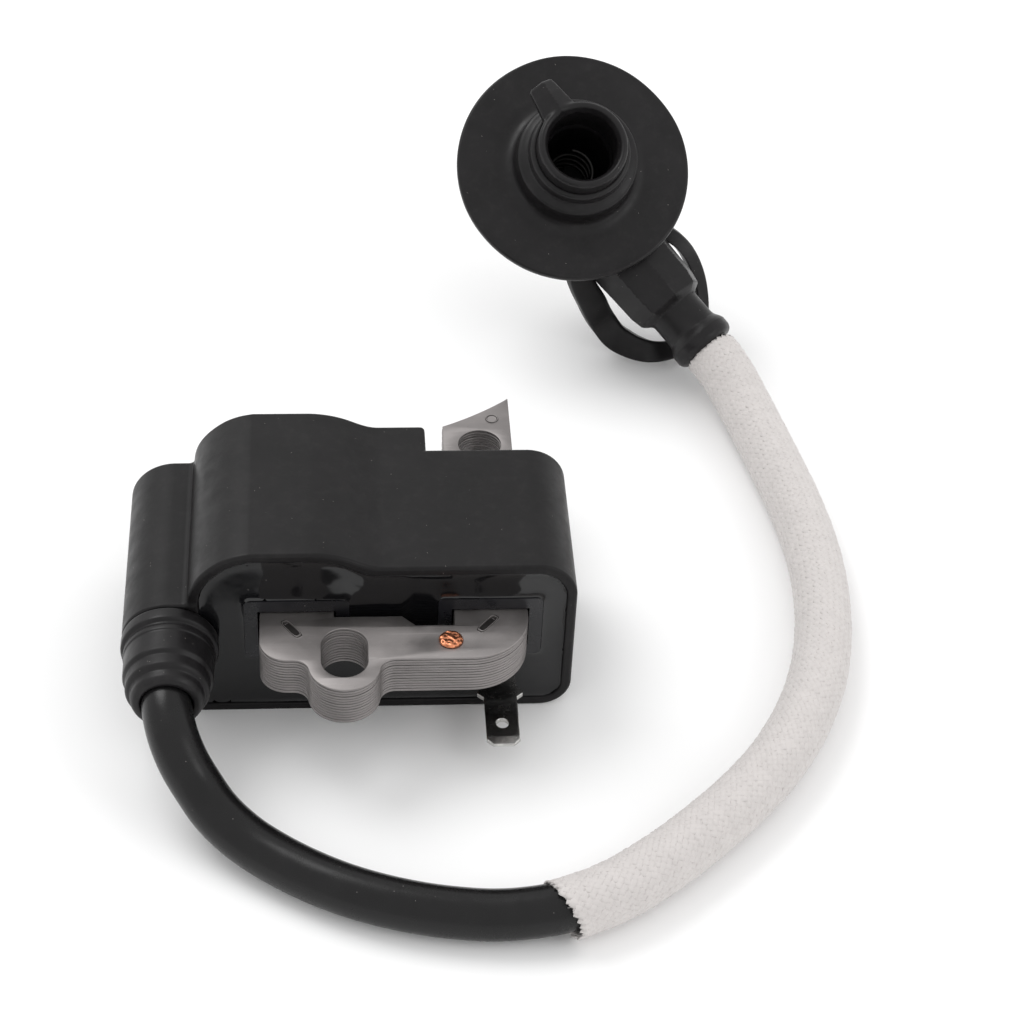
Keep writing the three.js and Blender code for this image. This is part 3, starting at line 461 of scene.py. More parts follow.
def moulded(name, color, low, high, grain, depth, dust, specular=0.35, swirl=0.0):
    """Moulded plastic or rubber: a fine grain, slow changes in gloss, and specks of dust."""
    made = Finish(name, Specular_IOR_Level=specular)
    place = made.place()
    slow = made.noise(place, 0.12, 4, 0.6, swirl)
    fine = made.noise(place, grain, 5, 0.65)
    shade = made.ramp(slow, [(0.3, toned(color, 0.75)), (0.7, toned(color, 1.35))])
    grey = made.ramp(made.noise(place, 0.55, 6, 0.7), [(0.5, (0, 0, 0)), (0.8, (1, 1, 1))])
    shade = made.mix(made.math("MULTIPLY", grey, 0.10 * dust), shade, (0.08, 0.075, 0.072))
    speck = made.specks(place, 0.9, 0.045, 0.31, 0.54)
    shade = made.mix(made.math("MULTIPLY", speck, dust), shade, (0.32, 0.30, 0.28))
    gloss = made.ramp(made.noise(place, 0.35, 5, 0.6), [(0.3, low), (0.7, high)])
    return made.finish(shade, gloss, made.bump(fine, 0.35, depth))


def metal(name, color, low, high, grain, depth):
    """Bare metal: a fine grain, cloudy tarnish and uneven gloss."""
    made = Finish(name, metallic=1.0)
    place = made.place()
    cloud = made.noise(place, 0.22, 5, 0.6, 0.4)
    fine = made.noise(place, grain, 4, 0.7)
    shade = made.ramp(cloud, [(0.3, toned(color, 0.75)), (0.7, color)])
    shade = made.mix(made.math("MULTIPLY", fine, 0.25), shade, toned(color, 0.45))
    gloss = made.ramp(made.math("MULTIPLY", made.math("ADD", fine, cloud), 0.5), [(0.3, low), (0.7, high)])
    return made.finish(shade, gloss, made.bump(fine, 0.3, depth))


def case_finish(look):
    return moulded("Housing_nylon", look.color, 0.34, 0.5, 5.0, 0.02, 0.8, 0.22)


def rubber_finish(name, look, grain, dust):
    return moulded(name, look.color, 0.28, 0.48, grain, 0.03, dust, 0.25, 0.5)


def resin_finish(look):
    """Poured resin: nearly a mirror, with faint long waves and a few dust specks."""
    made = Finish("Potting_resin", Specular_IOR_Level=0.5)
    place = made.place()
    tone = made.ramp(made.noise(place, 0.1), [(0.3, look.color), (0.7, toned(look.color, 1.6))])
    shade = made.mix(made.specks(place, 0.6, 0.05, 0.2, 0.58), tone, (0.2, 0.19, 0.18))
    gloss = made.ramp(made.noise(place, 0.3, 4), [(0.35, 0.07), (0.75, 0.16)])
    return made.finish(shade, gloss, made.bump(made.noise(place, 0.16, 2), 0.5, 0.25))


def steel_finish(look):
    """Stamped sheet: grey with a brown cast, fine rolling lines along X, smudges and small scratches, and
    a dark band of painted shade along the foot of each sheet's edge, for the shadow in the gap between
    sheets."""
    made = Finish("Core_steel", metallic=1.0)
    place = made.place()
    rolled = made.noise(made.place(scale=(150, 3000, 3000)), 1.0, 4, 0.7)
    cloud = made.noise(place, 0.16, 6, 0.62, 0.5)
    scratch = made.ramp(
        made.noise(made.place(scale=(250, 2200, 1000), turn=(0, 0, 0.5)), 0.55, 5, 0.8),
        [(0.62, (0, 0, 0)), (0.72, (1, 1, 1))],
    )
    tones = [(0.3, toned(look.color, 0.82)), (0.55, look.color), (0.75, toned(look.color, 1.18))]
    shade = made.ramp(cloud, tones)
    shade = made.mix(made.math("MULTIPLY", rolled, 0.25), shade, toned(look.color, 0.6))
    shade = made.mix(made.math("MULTIPLY", scratch, 0.3), shade, (0.62, 0.6, 0.58))
    spot = made.math("LESS_THAN", made.cells(place, 1.1), 0.05)
    shade = made.mix(made.math("MULTIPLY", spot, 0.5), shade, (0.08, 0.07, 0.065))
    # Painted shade: a dark band along the foot of each sheet, standing for the shadow in the gap between
    # sheets.
    height = made.node("SeparateXYZ", {"Vector": place}).outputs["Z"]
    sheet = made.math("FRACT", made.math("DIVIDE", made.math("SUBTRACT", height, CORE_BOTTOM), SHEET_PITCH))
    foot = made.math("MULTIPLY", made.math("LESS_THAN", sheet, 0.24), 0.85)
    shade = made.mix(foot, shade, (0.03, 0.027, 0.026))
    gloss = made.ramp(cloud, [(0.3, 0.46), (0.7, 0.6)])
    return made.finish(shade, gloss, made.bump(rolled, 0.25, 0.01))


def jacket_finish(look):
    """Lead jacket: satin black with fine lines along its length from the extruder, and dust."""
    made = Finish("Lead_jacket", Specular_IOR_Level=0.3)
    place = made.place()
    lines = made.noise(made.place("UV", (60, 900, 1)), 0.5, 4, 0.7)
    tone = made.ramp(made.noise(place, 0.15, 4), [(0.3, look.color), (0.7, toned(look.color, 1.7))])
    speck = made.specks(place, 0.8, 0.05, 0.35, 0.56)
    shade = made.mix(made.math("MULTIPLY", speck, 0.7), tone, (0.25, 0.23, 0.22))
    gloss = made.ramp(made.noise(place, 0.4, 5, 0.65), [(0.3, 0.18), (0.75, 0.34)])
    return made.finish(shade, gloss, made.bump(lines, 0.25, 0.03))


def braid_finish(name, look, shade):
    """Glass yarn: fine filaments along each yarn, a faintly cream white, and a soft sheen; a shade below one
    darkens it as painted shade.
    """
    made = Finish(name, Specular_IOR_Level=0.3, Sheen_Weight=0.25, Sheen_Roughness=0.5)
    filaments = made.noise(made.place("UV", (1.2, 9, 1)), 1.0, 3, 0.6)
    cloud = made.noise(made.place(), 0.35, 4, 0.6)
    # A shade below one makes a darker copy of the same yarn: painted shade.
    color = toned(look.color, shade)
    tone = made.ramp(cloud, [(0.3, toned(color, 0.93)), (0.7, color)])
    tone = made.mix(made.math("MULTIPLY", filaments, 0.3), tone, toned(color, 0.72))
    gloss = made.ramp(filaments, [(0.3, 0.6), (0.7, 0.8)])
    return made.finish(tone, gloss, made.bump(filaments, 0.5, 0.06))


def copper_finish(look):
    """Hammered copper: small dents with bright edges between them, and painted shade darkening the hollows.
    """
    made = Finish("Rivet_copper", metallic=1.0)
    place = made.place()
    dents = made.cells(place, 1.5, "SMOOTH_F1")
    fine = made.noise(place, 4.5, 4, 0.7)
    # Painted shade: the colour darkens towards the middle of each dent, where its hollow lies.
    shade = made.ramp(dents, [(0.1, toned(look.color, 0.45)), (0.5, look.color)])
    gloss = made.ramp(fine, [(0.3, 0.22), (0.7, 0.42)])
    coarse = made.bump(dents, 0.9, 0.35)
    return made.finish(shade, gloss, made.bump(fine, 0.4, 0.06, coarse))


def tin_finish(look):
    """Tinned blade: bright, with soft streaks along Y and a few dull patches."""
    made = Finish("Tinned_metal", metallic=1.0)
    place = made.place()
    streak = made.noise(made.place(scale=(2600, 260, 1000)), 1.0, 5, 0.75)
    patch = made.noise(place, 0.7, 5, 0.7, 0.8)
    shade = made.ramp(patch, [(0.3, toned(look.color, 0.55)), (0.6, look.color)])
    shade = made.mix(made.math("MULTIPLY", streak, 0.35), shade, toned(look.color, 0.5))
    gloss = made.ramp(patch, [(0.3, 0.30), (0.7, 0.12)])
    return made.finish(shade, gloss, made.bump(streak, 0.25, 0.03))


def varnish_finish(name, color, scale, stripe):
    """A wound or coated surface: fine stripes along one direction under a clear varnish."""
    made = Finish(name, Coat_Weight=0.4, Coat_Roughness=0.15)
    lines = made.noise(made.place(scale=stripe), scale, 3, 0.6)
    shade = made.ramp(lines, [(0.3, toned(color, 0.5)), (0.7, color)])
    gloss = made.ramp(lines, [(0.3, 0.3), (0.7, 0.5)])
    return made.finish(shade, gloss, made.bump(lines, 0.5, 0.05))


# ---------------------------------------------------------------- case and resin
def case_outline(x, z):
    """Distance to the case seen from the front: a low right part, a round-shouldered lobe, and a slope
    between them that is part of a circle."""
    low = rectangle_distance(x, z, (CASE_LEFT, 0), (CASE_RIGHT, CASE_TOP), (1.0, 4.6, 5.9, 5.9))
    lobe_corner = LOBE_LEFT - CASE_LEFT
    lobe = rectangle_distance(x, z, (CASE_LEFT, 0), (LOBE_RIGHT, LOBE_TOP), (1.0, 0, 0, lobe_corner))
    slope = np.hypot(x - LOBE_RIGHT, z - (LOBE_TOP - LOBE_RADIUS)) - LOBE_RADIUS
    return union(np.minimum(lobe, slope), low, 1.2)


def leg_distance(x, z, left, grow, radii=(0, 0, 0, 0)):
    """Distance to a core leg's section, grown all round."""
    low, high = (left - grow, CORE_BOTTOM - grow), (left + LEG_WIDTH + grow, CORE_TOP + grow)
    return rectangle_distance(x, z, low, high, radii)


def case_distance(edge):
    """The case's outline along Y joined to the tower, less the notch, the chamber, the lead's bore and
    the two openings for the core's legs."""

    def distance(p):
        x, y, z = p.T
        flat = case_outline(x, z)
        body = within(flat, band(y, CASE_FRONT, CASE_REAR), edge)
        round_tower = np.hypot(x - TOWER[0], z - TOWER[1])
        tower = within(round_tower - TOWER_RADIUS, band(y, CASE_FRONT, CASE_REAR), edge)
        web_foot, web_top = (TOWER[0], TOWER[1] - 4), (CASE_LEFT + 1, TOWER[1] + TOWER_RADIUS)
        web = rectangle_distance(x, z, web_foot, web_top)
        tower = np.minimum(tower, within(web, band(y, CASE_FRONT, CASE_REAR), edge))
        body = union(body, tower, 0.9)
        body = without(body, np.maximum(NOTCH_X - x, NOTCH_REAR - y), 0.8)
        inner_notch = np.maximum(NOTCH_X - CASE_WALL - x, NOTCH_REAR - CASE_WALL - y)
        chamber = np.maximum(np.maximum(flat + CASE_WALL, y - CASE_REAR + CASE_WALL), -inner_notch)
        body = without(body, chamber, 0.35)
        bore = np.maximum(round_tower - TOWER_BORE, y - CASE_FRONT - TOWER_DEPTH)
        body = without(body, bore, 0.3)
        for left in (LEG_A, LEG_B):
            body = without(body, np.maximum(leg_distance(x, z, left, LEG_GAP), -y), 0.15)
        return body

    return distance


def frame_distance(x, z, grow):
    """Distance to the rims of the two bobbins that stand in the resin."""
    return np.minimum(*[leg_distance(x, z, left, grow, (0.8,) * 4) for left in (LEG_A, LEG_B)])


def resin_distance(climb):
    """A layer inside the case, level but for a climb at the walls and at the bobbins' rims that dies
    away over about a millimetre."""

    def distance(p):
        x, y, z = p.T
        wall = case_outline(x, z) + CASE_WALL - 0.02
        rim = frame_distance(x, z, FRAME_RIM)
        at_wall = climb * np.exp(np.minimum(wall, 0) / 0.8)
        at_rim = 0.7 * climb * np.exp(-np.maximum(rim, 0) / 0.6)
        waves = 0.05 * np.sin(0.31 * x + 1.0) * np.cos(0.42 * z)
        front = RESIN_FRONT - at_wall - at_rim + waves
        layer = np.maximum(front - y, y - RESIN_FRONT - RESIN_DEPTH)
        return np.maximum(np.maximum(layer, wall), -rim)

    return distance


# ---------------------------------------------------------------- core
def arc(cx, cy, radius, start, end, count):
    """Points on part of a circle."""
    a = np.linspace(start, end, count)
    return np.stack([cx + radius * np.cos(a), cy + radius * np.sin(a)], -1)


def pole_arc(x0, x1, count):
    """Points on the arc round the flywheel between two places along X."""
    x = np.linspace(x0, x1, count)
    return np.stack([x, FLYWHEEL[1] - np.sqrt(FLYWHEEL_RADIUS**2 - (x - FLYWHEEL[0]) ** 2)], -1)


def spread(points, spacing):
    """The outline's points joined by straight sides, at nearly even steps, each corner kept."""
    closed = np.vstack([points, points[:1]])
    made = []
    for a, b in zip(closed[:-1], closed[1:]):
        count = max(1, int(np.linalg.norm(b - a) / spacing))
        made.append(a + (b - a) * np.arange(count)[:, None] / count)
    return np.vstack(made)


def sheet_outlines():
    """The core sheet's outline and its screw slot, screw hole and rivet hole."""
    pi, half = math.pi, math.pi / 2
    fillet_y = YOKE_FRONT - BOSS_FILLET
    reach = math.sqrt((BOSS_RADIUS + BOSS_FILLET) ** 2 - (BOSS_Y - fillet_y) ** 2)
    meet = math.atan2(BOSS_Y - fillet_y, reach)
    left, right = LEG_A + YOKE_LEFT_CORNER, LEG_B + LEG_WIDTH
    near, step_back = right - YOKE_RIGHT_CORNER, YOKE_BACK + YOKE_SLANT_RUN
    outer = np.vstack([
        arc(left, YOKE_FRONT + YOKE_LEFT_CORNER, YOKE_LEFT_CORNER, pi, 3 * half, 20),
        arc(BOSS_X - reach, fillet_y, BOSS_FILLET, half, meet, 12),
        arc(BOSS_X, BOSS_Y, BOSS_RADIUS, pi + meet, 2 * pi - meet, 56)[1:-1],
        arc(BOSS_X + reach, fillet_y, BOSS_FILLET, pi - meet, half, 12),
        arc(near, YOKE_FRONT + YOKE_RIGHT_CORNER, YOKE_RIGHT_CORNER, -half, 0, 32),
        pole_arc(right, LEG_B, 14),
        [(LEG_B, YOKE_BACK), (YOKE_SLANT_X + YOKE_SLANT_RUN, YOKE_BACK)],
        [(YOKE_SLANT_X, step_back), (LEG_A + LEG_WIDTH, step_back)],
        pole_arc(LEG_A + LEG_WIDTH, LEG_A, 12),
    ])
    slot = np.vstack([
        arc(BOSS_X, SLOT_FAR, SCREW_RADIUS, 0, pi, 28),
        arc(BOSS_X, SLOT_NEAR, SCREW_RADIUS, pi, 2 * pi, 28),
    ])
    hole = arc(*REAR_HOLE, SCREW_RADIUS, 0, 2 * pi, 57)[:-1]
    pin = arc(*RIVET, RIVET_HOLE, 0, 2 * pi, 25)[:-1]
    return [spread(outer, 1.5), slot, hole, pin]


def outline_normals(outline):
    """Directions square to a closed outline, outwards if it runs anticlockwise."""
    ahead = unit(np.roll(outline, -1, 0) - np.roll(outline, 1, 0))
    return np.stack([ahead[:, 1], -ahead[:, 0]], -1)


def stamped(outlines, low, high, edge):
    """A flat plate: each outline is carried from low to high, set in by edge at both faces, and the faces
    are filled between the outlines."""
    part = 0.3 * edge
    levels = np.array([
        (edge, low), (part, low + part), (0, low + edge), (0, high - edge), (part, high - part), (edge, high),
    ])
    points, faces, first, tops, offset = [], [], [], [], 0
    for number, outline in enumerate(outlines):
        sign = -1 if number else 1
        inward = -sign * outline_normals(outline)
        rings = outline[None] + levels[:, 0, None, None] * inward[None]
        z = np.broadcast_to(levels[:, 1, None, None], rings.shape[:2] + (1,))
        points.append(np.concatenate([rings, z], -1).reshape(-1, 3))
        quads = grid_faces(len(levels), len(outline)) + offset
        faces.append(quads if number == 0 else quads[:, ::-1])
        first.append(offset + np.arange(len(outline)))
        tops.append(offset + (len(levels) - 1) * len(outline) + np.arange(len(outline)))
        offset += len(levels) * len(outline)
    points = np.vstack(points)
    lower, upper = np.concatenate(first), np.concatenate(tops)
    fill = np.array(tessellate_polygon([[Vector((x, y, 0)) for x, y, _ in points[ring]] for ring in tops]))
    a, b, c = (points[upper[fill[:, k]], :2] for k in range(3))
    turn = (b[:, 0] - a[:, 0]) * (c[:, 1] - a[:, 1]) - (b[:, 1] - a[:, 1]) * (c[:, 0] - a[:, 0])
    fill[turn < 0] = fill[turn < 0][:, ::-1]
    fill = fill[np.abs(turn) > 1e-9]
    return points, [np.vstack(faces), upper[fill], lower[fill][:, ::-1]]


def stake(centre, end, width, depth_slope):
    """A stake's mark: a long pocket with a raised lip, as a grid of rings from its middle outwards. The
    height is a lip near the rim plus a floor that slopes along the pocket."""
    centre, end = np.asarray(centre, float), np.asarray(end, float)
    middle, along = (centre + end) / 2, (end - centre) / 2
    half = np.linalg.norm(along)
    along = along / half
    side = np.array([-along[1], along[0]])
    ring = np.linspace(0.04, 1, 22)[:, None]
    angle = np.linspace(0, 2 * np.pi, 72, endpoint=False)[None]
    power = 4 if half > 0.7 * width else 2
    square = (np.abs(np.cos(angle)) ** power + np.abs(np.sin(angle)) ** power) ** (-1 / power)
    u, v = ring * half * square * np.cos(angle), ring * width / 2 * square * np.sin(angle)
    lip = 0.17 * np.exp(-(((ring - 0.8) / 0.11) ** 2)) + 0 * angle
    floor = 0.02 + depth_slope * (0.5 + 0.5 * u / half) * np.clip(1 - (ring / 0.8) ** 4, 0, 1)
    z = CORE_TOP + lip + floor - 0.1 * np.clip((ring - 0.92) / 0.08, 0, 1)
    xy = middle + u[..., None] * along + v[..., None] * side
    return np.concatenate([xy, z[..., None]], -1)


# ---------------------------------------------------------------- boot
POINTER = np.array([-0.54, 0.65, 0.53])
POINTER = unit(POINTER - (POINTER @ PLUG_AXIS) * PLUG_AXIS)
POINTER_SIDE = np.cross(PLUG_AXIS, POINTER)
POINTER_ROOT, POINTER_TIP, POINTER_DEPTH = 4.0, 12.3, 2.6
NECK_SIDE, NECK_UP = across(NECK_AXIS)
FACET_TURNS = np.pi / 4 * np.arange(8) + np.pi / 8
NECK_FACETS = [np.cos(turn) * NECK_SIDE + np.sin(turn) * NECK_UP for turn in FACET_TURNS]
FACETS_START, FACETS_SHARE = 8.8, 0.85
HEEL_RADIUS, LEAD_HOLE = 7.0, 3.75
# Radii at distances along the neck and along the socket: a bead, the neck, the shoulder and the elbow; the
# barrel and its lip; and the bore with the ring that grips the plug.
NECK_PROFILE = np.array([
    (0, 4.7), (0.5, 5.15), (1.1, 5.4), (2.4, 5.4), (3.0, 5.15), (3.9, 4.6), (4.6, 4.5), (8.7, 4.5),
    (9.1, 4.9), (9.9, 5.9), (12, 6.3), (17, 6.45), (24, 6.8),
])
BARREL_PROFILE = np.array([(0, 7.0), (2, 7.1), (17.2, 7.1), (17.6, 7.35), (20.4, 7.35), (20.8, 7.25)])
BORE_PROFILE = np.array([
    (-5, 5.7), (12.0, 5.7), (12.6, 5.35), (13.6, 5.35), (14.2, 5.7), (19.9, 5.7), (21.2, 6.35),
])


def boot_distance(p):
    """The neck's round profile along its own axis, eight-sided past its shoulder, and the socket's along the
    plug's, joined with a wide fillet, with the pointer at the mouth, less the two bores."""
    run = (p - BEAD) @ NECK_AXIS
    spoke = p - BEAD - run[:, None] * NECK_AXIS
    off_neck = np.linalg.norm(spoke, axis=1)
    corner = np.max([spoke @ facet for facet in NECK_FACETS], axis=0)
    facing = np.clip((run - FACETS_START) / 0.8, 0, 1) * FACETS_SHARE
    neck = off_neck * (1 - facing) + corner * facing - np.interp(run, *NECK_PROFILE.T)
    neck = within(neck, band(run, 0, NECK_LENGTH), 0.4)
    rise = (p - SOCKET) @ PLUG_AXIS
    around = p - SOCKET - rise[:, None] * PLUG_AXIS
    off = np.linalg.norm(around, axis=1)
    barrel = within(off - np.interp(rise, *BARREL_PROFILE.T), band(rise, 0, SOCKET_RISE), 0.6)
    heel = np.linalg.norm(p - SOCKET, axis=1) - HEEL_RADIUS
    body = union(union(barrel, heel, 0.5), neck, 2.2)
    body = union(body, pointer_distance(rise, around), 0.45)
    bore = np.maximum(off - np.interp(rise, *BORE_PROFILE.T), SOCKET_RISE - PLUG_BORE_DEPTH - rise)
    body = without(body, bore, 0.35)
    return without(body, np.maximum(off_neck - LEAD_HOLE, run - NECK_LENGTH), 0.3)


def pointer_distance(rise, around):
    """Distance to the pointer: a tapering finger on the mouth's lip with a ridge along its middle."""
    a, b = around @ POINTER, around @ POINTER_SIDE
    height = rise - (SOCKET_RISE - POINTER_DEPTH)
    width = np.interp(a, [POINTER_ROOT, 7, POINTER_TIP], [3.3, 2.95, 2.1])
    top = 1.6 + 1.3 * (1 - np.abs(b) / width) - 0.25 * np.clip((a - 10) / 2.5, 0, 1)
    pointer = within(np.abs(b) - width, np.maximum(-height, height - top), 0.3)
    return within(pointer, band(a, POINTER_ROOT, POINTER_TIP), 0.45)


# ---------------------------------------------------------------- the add-on's settings
def millimetres(name, text, value, **more):
    return FloatProperty(
        name=name, description=text, default=value * MM, subtype="DISTANCE", unit="LENGTH", precision=5,
        **more
    )


def tint(name, text, value):
    return FloatVectorProperty(name=name, description=text, default=value, subtype="COLOR", min=0, max=1)


class CoilCaseSettings(bpy.types.PropertyGroup):
    color: tint("Colour", "Colour of the case's nylon", (0.0062, 0.0056, 0.0060))
    edge: millimetres("Edge radius", "Radius of the case's outer edges", 0.5, min=0)
    climb: millimetres("Resin climb", "How far the resin climbs at the walls", 0.4, min=0)


class CoilResinSettings(bpy.types.PropertyGroup):
    color: tint("Colour", "Colour of the potting resin", (0.0035, 0.0035, 0.004))


class CoilCoreSettings(bpy.types.PropertyGroup):
    color: tint("Steel colour", "Colour of the core's sheets", (0.33, 0.31, 0.305))
    edge: millimetres("Sheet edge", "Radius of a sheet's stamped edge", 0.1, min=0)
    slip: millimetres("Sheet slip", "How far the sheets lie out of line", 0.04, min=0)


class CoilCopperSettings(bpy.types.PropertyGroup):
    color: tint("Copper colour", "Colour of the rivet", (0.78, 0.30, 0.16))


class CoilTabSettings(bpy.types.PropertyGroup):
    color: tint("Tin colour", "Colour of the stop terminal", (0.72, 0.71, 0.69))


class CoilLeadSettings(bpy.types.PropertyGroup):
    color: tint("Colour", "Colour of the lead's jacket", (0.0045, 0.0043, 0.0045))
    diameter: millimetres("Diameter", "Outside diameter of the lead", 7.0, min=0.001)


class CoilSleeveSettings(bpy.types.PropertyGroup):
    color: tint("Colour", "Colour of the glass yarn", (0.66, 0.625, 0.61))
    radius: millimetres("Radius", "Radius of the braid's middle", 4.05, min=0.001)
    yarns: IntProperty(name="Yarns", description="Yarns that run each way round", default=26, min=4, max=48)
    pitch: millimetres("Pitch", "Length in which a yarn goes round once", 32.0, min=0.005)
    askew: millimetres("Askew cut", "How far the open end's cut leans along the lead", 1.5, min=0)


class CoilBootSettings(bpy.types.PropertyGroup):
    color: tint("Colour", "Colour of the boot's rubber", (0.0085, 0.0078, 0.0084))
    wave: millimetres("Disc wave", "How far the disc's rim waves", 0.3, min=0)


class CoilStageSettings(bpy.types.PropertyGroup):
    floor: tint("Floor colour", "Colour of the floor", (0.97, 0.97, 0.97))
    sky: FloatProperty(
        name="Surrounding light", description="Strength of the even light", default=0.92, min=0
    )
    key: FloatProperty(
        name="Main light", description="Power of the main soft light", default=2.6, min=0, unit="POWER"
    )


GROUPS = {
    "case": CoilCaseSettings, "resin": CoilResinSettings, "core": CoilCoreSettings,
    "copper": CoilCopperSettings, "tab": CoilTabSettings, "lead": CoilLeadSettings,
    "sleeve": CoilSleeveSettings, "boot": CoilBootSettings, "stage": CoilStageSettings,
}


def settings(context, group):
    return getattr(context.scene, "coil_" + group)


# ---------------------------------------------------------------- operators
CAMERA_DOWN, CAMERA_TURN, CAMERA_ROLL = math.radians(41.6), math.radians(5.6), math.radians(3.08)
CAMERA_AIM, CAMERA_DISTANCE, CAMERA_LENS = (26.3, 26.45, 0), 398.2, 87.890625


class CameraOperator(bpy.types.Operator):
    """Puts the camera above the case's front and turns it a little to the side"""

    bl_idname = "coil.camera"
    bl_label = "Camera"

    def execute(self, context):
        axes = Matrix.Rotation(-CAMERA_TURN, 3, "Z") @ Matrix.Rotation(math.pi / 2 - CAMERA_DOWN, 3, "X")
        axes = axes @ Matrix.Rotation(CAMERA_ROLL, 3, "Z")
        data = bpy.data.cameras.new("Camera")
        data.lens = CAMERA_LENS
        data.clip_start, data.clip_end = 0.01, 20
        camera = bpy.data.objects.new("Camera", data)
        eye = Vector(CAMERA_AIM) + CAMERA_DISTANCE * axes.col[2]
        camera.matrix_world = Matrix.Translation(eye * MM) @ axes.to_4x4()
        context.scene.collection.objects.link(camera)
        context.scene.camera = camera
        return {"FINISHED"}


def lead_line():
    """The lead's whole centre line, from inside the tower to inside the boot."""
    inside = [BEAD + s * NECK_AXIS for s in (0, LEAD_END / 2, LEAD_END)]
    return smooth_line(np.vstack([BARE_ROUTE, SLEEVE_ROUTE, inside]), 0.8)


def run_near(line, place):
    """Distance along the line to its point nearest the place."""
    run = np.concatenate([[0], np.cumsum(np.linalg.norm(np.diff(line, axis=0), axis=1))])
    return run[np.linalg.norm(line - np.asarray(place, float), axis=1).argmin()], run[-1]


class LeadOperator(bpy.types.Operator):
    """Builds the lead's jacket along its route"""

    bl_idname = "coil.lead"
    bl_label = "Lead"

    def execute(self, context):
        look = settings(context, "lead")
        line = lead_line()
        side, up = line_frames(line)
        angle = np.linspace(0, 2 * np.pi, 40, endpoint=False)
        radius = look.diameter / MM / 2
        section = radius * np.stack([np.cos(angle), np.sin(angle)], -1)
        grid = line[:, None] + section[None, :, :1] * side[:, None] + section[None, :, 1:] * up[:, None]
        points, faces = closed_loft(grid)
        around = np.broadcast_to(np.minimum(angle, 2 * np.pi - angle) / (2 * np.pi), grid.shape[:2])
        along = np.broadcast_to(np.linspace(0, 1, len(line))[:, None], grid.shape[:2])
        uv = np.vstack([np.stack([along, around], -1).reshape(-1, 2), [[0, 0], [1, 0]]])
        piece = put_mesh("lead_jacket", points, faces, jacket_finish(look), uv)
        stands_for(piece, "lead_jacket", "ht_lead")
        return {"FINISHED"}


